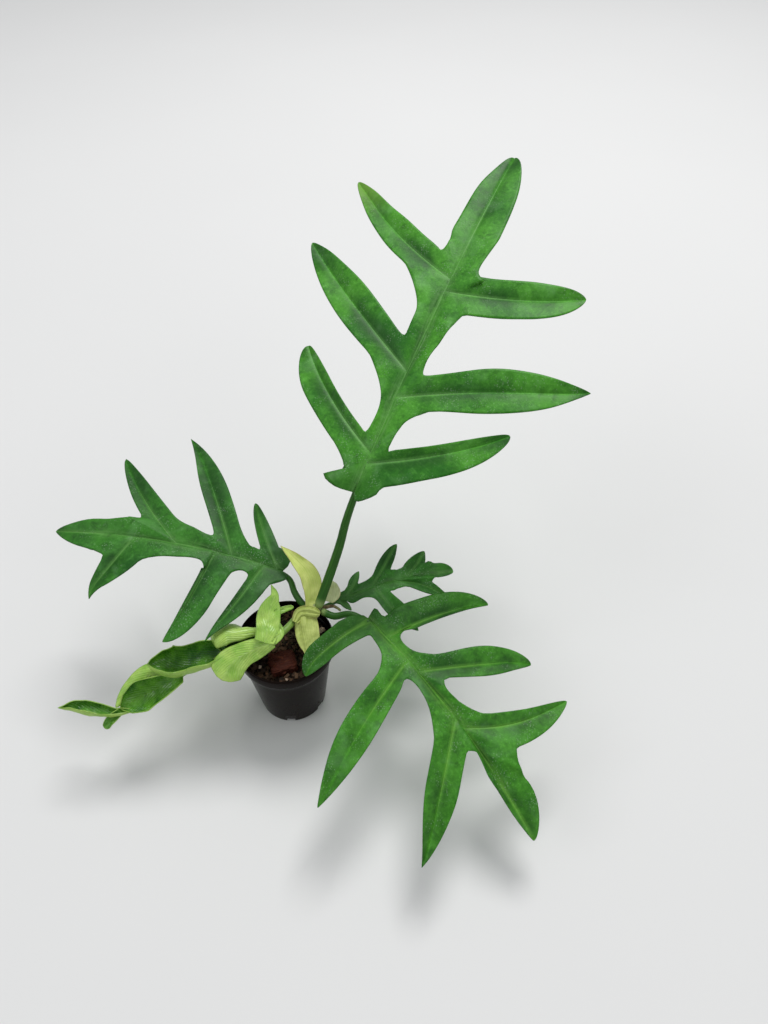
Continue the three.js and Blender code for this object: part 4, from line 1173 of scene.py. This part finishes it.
def make_sheath(name, parts, materials, ruffle, wrinkle, crease=FINE_CREASE):
    """A papery sheath of one or more straps, with its ruffle, wrinkles and creases in mm."""
    bm, layer = mesh_with("strap")
    for part in parts:
        strap(bm, layer, part, SHEATH_GRID, ruffle, wrinkle, len(name), crease)
    finish_piece(bm, name + "_skin", materials, name, wall=SHEATH_WALL)


def make_stem(material):
    """The short stem, swollen a little at each of its joints."""
    def radius_at(share):
        joints = sum(math.exp(-((share - joint) / JOINT_LENGTH) ** 2) for joint in STEM_JOINTS)
        return along_list(STEM_RADII, share) + JOINT_SWELL * joints - STEM_TRIM

    make_bar("stem_skin", material, "stem", "stem", STEM_PATH, radius_at,
             steps=90, sides=36, knobs=0.7, seed=5)


def make_aerial_root(material):
    make_bar("aerial_root_skin", material, "aerial_root", "root", AERIAL_ROOT,
             lambda share: along_list(AERIAL_ROOT_RADII, share), steps=40, sides=14, knobs=0.5, seed=2)


# Pot and potting mix

def wall_radius(z):
    return lerp(POT_FOOT_RADIUS, POT_RIM_RADIUS - RIM_STEP, z / POT_HEIGHT)


def inner_radius(z):
    """Radius of the mix at this height, just inside the pot's wall."""
    return wall_radius(z) - POT_WALL - MIX_GAP


def pot_profile():
    """Radius and height of the pot's outer skin, from the middle of its foot to the top of its lip."""
    band = POT_HEIGHT - RIM_BAND
    flare, drop = BAND_FLARE
    return [
        *FOOT_PROFILE,
        *((wall_radius(z), z) for z in WALL_STOPS),
        (wall_radius(band) + flare, band - drop),
        *((POT_RIM_RADIUS - inset, band + height) for inset, height in BAND_PROFILE),
        *((POT_RIM_RADIUS - inset, POT_HEIGHT - depth) for inset, depth in LIP_PROFILE),
    ]


def is_drain_hole(face):
    """Whether a face of the shell lies in one of the drain holes round the corner of its foot."""
    middle = face.calc_center_median() / MM
    turn = math.atan2(middle.y, middle.x) / TURN * DRAIN_HOLES
    off_centre = abs((turn % 1) - 0.5) * TURN / DRAIN_HOLES
    in_corner = middle.xy.length > DRAIN_INNER_RADIUS and middle.z < DRAIN_HEIGHT - DRAIN_SHORTFALL
    return off_centre < DRAIN_HALF_ANGLE and in_corner


def make_pot(material):
    """The pot: its profile spun round, the drain holes cut out, and a wall given on the inside."""
    bm = bmesh.new()
    verts = [bm.verts.new(Vector((radius, 0, z)) * MM) for radius, z in pot_profile()]
    edges = [bm.edges.new(pair) for pair in zip(verts, verts[1:])]
    bmesh.ops.spin(bm, geom=verts + edges, cent=(0, 0, 0), axis=(0, 0, 1), angle=TURN,
                   steps=POT_STEPS, use_merge=True)
    bmesh.ops.remove_doubles(bm, verts=bm.verts, dist=POT_MERGE * MM)
    bmesh.ops.recalc_face_normals(bm, faces=bm.faces)
    underside = [face for face in bm.faces if face.calc_center_median().z < UNDERSIDE_HEIGHT * MM]
    if sum(face.normal.z * face.calc_area() for face in underside) > 0:
        bmesh.ops.reverse_faces(bm, faces=bm.faces)
    bmesh.ops.delete(bm, geom=[face for face in bm.faces if is_drain_hole(face)], context="FACES")
    piece = finish_piece(bm, "pot_shell", [material], "pot", wall=POT_WALL)
    piece.modifiers["wall"].offset = -1.0


def mix_height(x, y):
    """Level of the mix: heaped round the stem and uneven by a few crossing waves."""
    heap = MIX_HEAP * math.exp(-((x - HEAP_PLACE[0]) ** 2 + (y - HEAP_PLACE[1]) ** 2) / HEAP_SPREAD)
    bump = math.sin(x * 0.55 + 1) * math.cos(y * 0.6 - x * 0.2) + 0.6 * math.sin(y * 1.1 + x * 0.7)
    return MIX_LEVEL + heap + MIX_BUMP * bump


def make_mix(crumb):
    """The body of the mix: a heaped, rough top, and the sides and floor that the pot moulds."""
    floor = POT_FLOOR + MIX_GAP
    top_radius, foot_radius = inner_radius(MIX_LEVEL), inner_radius(floor)

    def place(i, j):
        angle = TURN * (i % MIX_AROUND) / MIX_AROUND
        if j <= MIX_TOP_ROWS:
            x, y = polar(top_radius * j / MIX_TOP_ROWS, angle)
            rough = sum(depth * noise.noise(Vector((x, y, layer)) * scale)
                        for depth, scale, layer in MIX_ROUGH)
            return (x, y, mix_height(x, y) + rough - MIX_SINK), []
        if j <= MIX_TOP_ROWS + MIX_SIDE_ROWS:
            share = (j - MIX_TOP_ROWS) / MIX_SIDE_ROWS
            x, y = polar(lerp(top_radius, foot_radius, share), angle)
            return (x, y, lerp(mix_height(x, y) - MIX_SINK, floor, share)), []
        share = (j - MIX_TOP_ROWS - MIX_SIDE_ROWS) / MIX_FLOOR_ROWS
        return (*polar(foot_radius * (1 - share), angle), floor), []

    bm = bmesh.new()
    patch(bm, MIX_AROUND, MIX_TOP_ROWS + MIX_SIDE_ROWS + MIX_FLOOR_ROWS, place, [], flip=True)
    finish_piece(bm, "potting_mix_bed", [crumb], "potting_mix")


def tumble(rng, tilt):
    """A random turn that tilts a chip by no more than this."""
    return Matrix.Rotation(rng.random() * TURN, 3, "Z") @ Matrix.Rotation(rng.uniform(-tilt, tilt), 3, "X")


def chip(bm, layer, size, centre, spin, seed, rng):
    """A bark chip: a box with uneven corners and chamfered edges."""
    made = bmesh.ops.create_cube(bm, size=1.0)["verts"]
    for vert in made:
        for axis, (least, spread) in enumerate(CHIP_CORNERS):
            vert.co[axis] *= size[axis] * (least + spread * rng.random())
    edges = {edge for vert in made for edge in vert.link_edges}
    bevelled = bmesh.ops.bevel(bm, geom=list(edges), offset=CHIP_BEVEL * min(size), affect="EDGES",
                               segments=1, profile=0.5, material=-1)
    for vert in {vert for face in bevelled["faces"] for vert in face.verts}:
        vert[layer] = Vector((vert.co.x, vert.co.y + vert.co.z * 2, seed))
        vert.co = (spin @ vert.co + Vector(centre)) * MM


def make_dark_chips(material, rng):
    """Loose chips in a sunflower spiral over the mix, clear of the stem and the chunk."""
    bm, layer = mesh_with("chip")
    limit = wall_radius(MIX_LEVEL) - POT_WALL - CHIP_EDGE_GAP
    for number in range(CHIP_COUNT):
        x, y = polar(limit * math.sqrt((number + 0.5) / CHIP_COUNT), number * CHIP_TURN)
        size = CHIP_SMALLEST + CHIP_SPREAD * rng.random() ** 2
        near_stem = math.hypot(x - STEM_FOOT[0], y - STEM_FOOT[1]) < STEM_CLEARANCE + size / 2
        near_chunk = math.hypot(x - CHUNK_PLACE[0], y - CHUNK_PLACE[1]) < CHUNK_CLEARANCE
        spin = tumble(rng, CHIP_TILT)
        seed = rng.random()
        if near_stem or near_chunk:
            continue
        centre = (x, y, mix_height(x, y) + CHIP_LIFT * size * rng.random())
        sides = (size, size * rng.uniform(*CHIP_WIDTHS), size * rng.uniform(*CHIP_DEPTHS))
        chip(bm, layer, sides, centre, spin, seed, rng)
    finish_piece(bm, "potting_mix_chips", [material], "potting_mix", merge=FINE_MERGE, smooth=False)


def make_pale_chips(material, rng):
    """A few pale chips, each in its own place."""
    bm, layer = mesh_with("chip")
    for x, y, size in PALE_CHIPS:
        spin = tumble(rng, PALE_CHIP_TILT)
        centre = (x, y, mix_height(x, y) + PALE_CHIP_LIFT)
        sides = [size * share for share in PALE_CHIP_SHAPE]
        chip(bm, layer, sides, centre, spin, rng.random(), rng)
    finish_piece(bm, "potting_mix_pale_chips", [material], "potting_mix",
                 merge=FINE_MERGE, smooth=False)


def make_fibres(material):
    """Fine dark fibres and moss strands that lie about on the mix behind the chunk."""
    rng = random.Random(FIBRE_SEED)
    bm, layer = mesh_with("bar")
    for _ in range(FIBRE_COUNT):
        x, y = rng.uniform(*FIBRE_FIELD_X), rng.uniform(*FIBRE_FIELD_Y)
        if math.hypot(x, y) > FIBRE_START_REACH:
            continue
        heading = rng.random() * TURN
        points = []
        for step in range(FIBRE_KNOTS):
            step_x, step_y = polar(FIBRE_STEP * step, heading)
            heading += rng.uniform(-FIBRE_BEND, FIBRE_BEND)
            arch = FIBRE_ARCH * math.sin(math.pi * step / (FIBRE_KNOTS - 1)) * rng.random()
            height = mix_height(x + step_x, y + step_y) + FIBRE_LIFT + arch
            points.append((x + step_x, y + step_y, height))
        if all(math.hypot(point[0], point[1]) < FIBRE_END_REACH for point in points):
            bar(bm, layer, points, lambda share: FIBRE_RADIUS * (1 - FIBRE_TAPER * share), steps=9, sides=5)
    finish_piece(bm, "potting_mix_fibres", [material], "potting_mix", merge=FINE_MERGE)


def make_chunk(material):
    """The big bark chunk: a split slab, rough and layered along its grain."""
    bm, layer = mesh_with("chip")
    rng = random.Random(CHUNK_SEED)
    for vert in bmesh.ops.create_cube(bm, size=1.0)["verts"]:
        for axis, limits in enumerate(CHUNK_CORNERS):
            vert.co[axis] *= CHUNK_SIZE[axis] * rng.uniform(*limits)
    bmesh.ops.bevel(bm, geom=list(bm.edges), offset=CHUNK_BEVEL, affect="EDGES", segments=2,
                    profile=0.5, material=-1)
    bmesh.ops.triangulate(bm, faces=bm.faces)
    for _ in range(CHUNK_SPLITS):
        long_edges = [edge for edge in bm.edges if edge.calc_length() > CHUNK_LONGEST_EDGE]
        bmesh.ops.subdivide_edges(bm, edges=long_edges, cuts=1)
        bmesh.ops.triangulate(bm, faces=[face for face in bm.faces if len(face.verts) > 3])
    bmesh.ops.recalc_face_normals(bm, faces=bm.faces)
    turns = [Matrix.Rotation(turn, 3, axis) for turn, axis in zip(CHUNK_TURNS, "ZYX")]
    spin = turns[0] @ turns[1] @ turns[2]
    for vert in bm.verts:
        grain = noise.noise(vert.co * Vector(GRAIN_SCALE))
        lump = noise.noise(vert.co * LUMP_SCALE)
        vert[layer] = Vector((vert.co.x, vert.co.y + vert.co.z * 2, 0.5))
        moved = vert.co + vert.normal * (CHUNK_GRAIN * grain + CHUNK_LUMP * lump - CHUNK_SHRINK)
        vert.co = (spin @ moved + Vector(CHUNK_PLACE)) * MM
    finish_piece(bm, "bark_chunk_skin", [material], "bark_chunk", merge=FINE_MERGE)


# The plant in its pot

make_leaf("upper", UPPER_LEAF, "leaf_mid_green", spacing=9.5, sheen=0.4, tip=YELLOW_TIP)
make_leaf("left", LEFT_LEAF, "leaf_dark_green", spacing=7, sheen=0.42)
make_leaf("lower", LOWER_LEAF, "leaf_lower_green", spacing=7, sheen=0.42)
make_leaf("small", SMALL_LEAF, "leaf_deep_green", spacing=4.5, sheen=0.32)
make_new_leaf(
    new_leaf_material("leaf_new_outside", NEW_LEAF_OUTSIDE, sheen=0.3),
    new_leaf_material("leaf_new_inside", NEW_LEAF_INSIDE, sheen=0.22),
    stalk_material("leaf_new_stalk", NEW_LEAF_STALK),
)
sheath_pale = sheath_material("sheath_pale_face", PALE_SHEATH)
sheath_back = sheath_material("sheath_pale_back", PALE_SHEATH_BACK)
sheath_green = sheath_material("sheath_green_face", GREEN_SHEATH)
sheath_grey = sheath_material("sheath_grey_face", GREY_SHEATH)
make_sheath("sheath_upper", [UPPER_SHEATH], [sheath_back, sheath_pale], ruffle=0.6, wrinkle=1.0)
make_sheath("sheath_lower", [LOWER_SHEATH, COLLAR], [sheath_green, sheath_back],
            ruffle=0.8, wrinkle=1.3, crease=0.3)
make_sheath("sheath_back", [BACK_SHEATH], [sheath_grey], ruffle=0.8, wrinkle=1.2)
make_stem(stem_material())
make_aerial_root(root_material())
make_pot(pot_material())
make_mix(mix_material())
chip_draws = random.Random(CHIP_SEED)
make_dark_chips(bark_material("bark_chips_dark", DARK_BARK, sheen=0.5), chip_draws)
make_pale_chips(bark_material("bark_chips_pale", PALE_BARK, sheen=0.6), chip_draws)
make_fibres(stalk_material("mix_fibre", MIX_FIBRE))
make_chunk(bark_material("bark_chunk_face", RED_BARK, sheen=0.5))


# Studio

def add_object(name, data):
    made = bpy.data.objects.new(name, data)
    bpy.context.scene.collection.objects.link(made)
    return made


def make_floor():
    """The plain floor that the pot stands on."""
    bm = bmesh.new()
    bmesh.ops.create_grid(bm, x_segments=4, y_segments=4, size=FLOOR_REACH * MM)
    mesh = bpy.data.meshes.new("studio_floor")
    bm.to_mesh(mesh)
    bm.free()
    mesh.materials.append(floor_material())
    add_object("studio_floor", mesh)


def add_light(name, place, size, power, colour):
    """A round lamp, `size` mm across, that shines at the middle of the plant."""
    light = bpy.data.lights.new(name, "AREA")
    light.shape = "DISK"
    light.size = size * MM
    light.energy = power
    light.color = colour
    lamp = add_object(name, light)
    lamp.location = Vector(place) * MM
    lamp.rotation_euler = (Vector(LIGHTS_AIM) - Vector(place)).to_track_quat("-Z", "Y").to_euler()


def make_camera():
    lens = bpy.data.cameras.new("camera")
    lens.lens = CAMERA_LENS
    lens.sensor_fit = "VERTICAL"
    lens.sensor_height = CAMERA_FILM
    lens.sensor_width = CAMERA_FILM
    camera = add_object("camera", lens)
    camera.location = Vector(CAMERA_PLACE) * MM
    camera.rotation_euler = (math.radians(90 - CAMERA_PITCH), 0, 0)
    bpy.context.scene.camera = camera


def make_world():
    world = bpy.data.worlds.new("studio")
    world.use_nodes = True
    sky = world.node_tree.nodes["Background"]
    sky.inputs["Color"].default_value = (*SKY_COLOUR, 1.0)
    sky.inputs["Strength"].default_value = SKY_STRENGTH
    bpy.context.scene.world = world


bpy.context.scene.view_settings.view_transform = "Standard"
make_floor()
for light in LIGHTS:
    add_light(**light)
make_camera()
make_world()
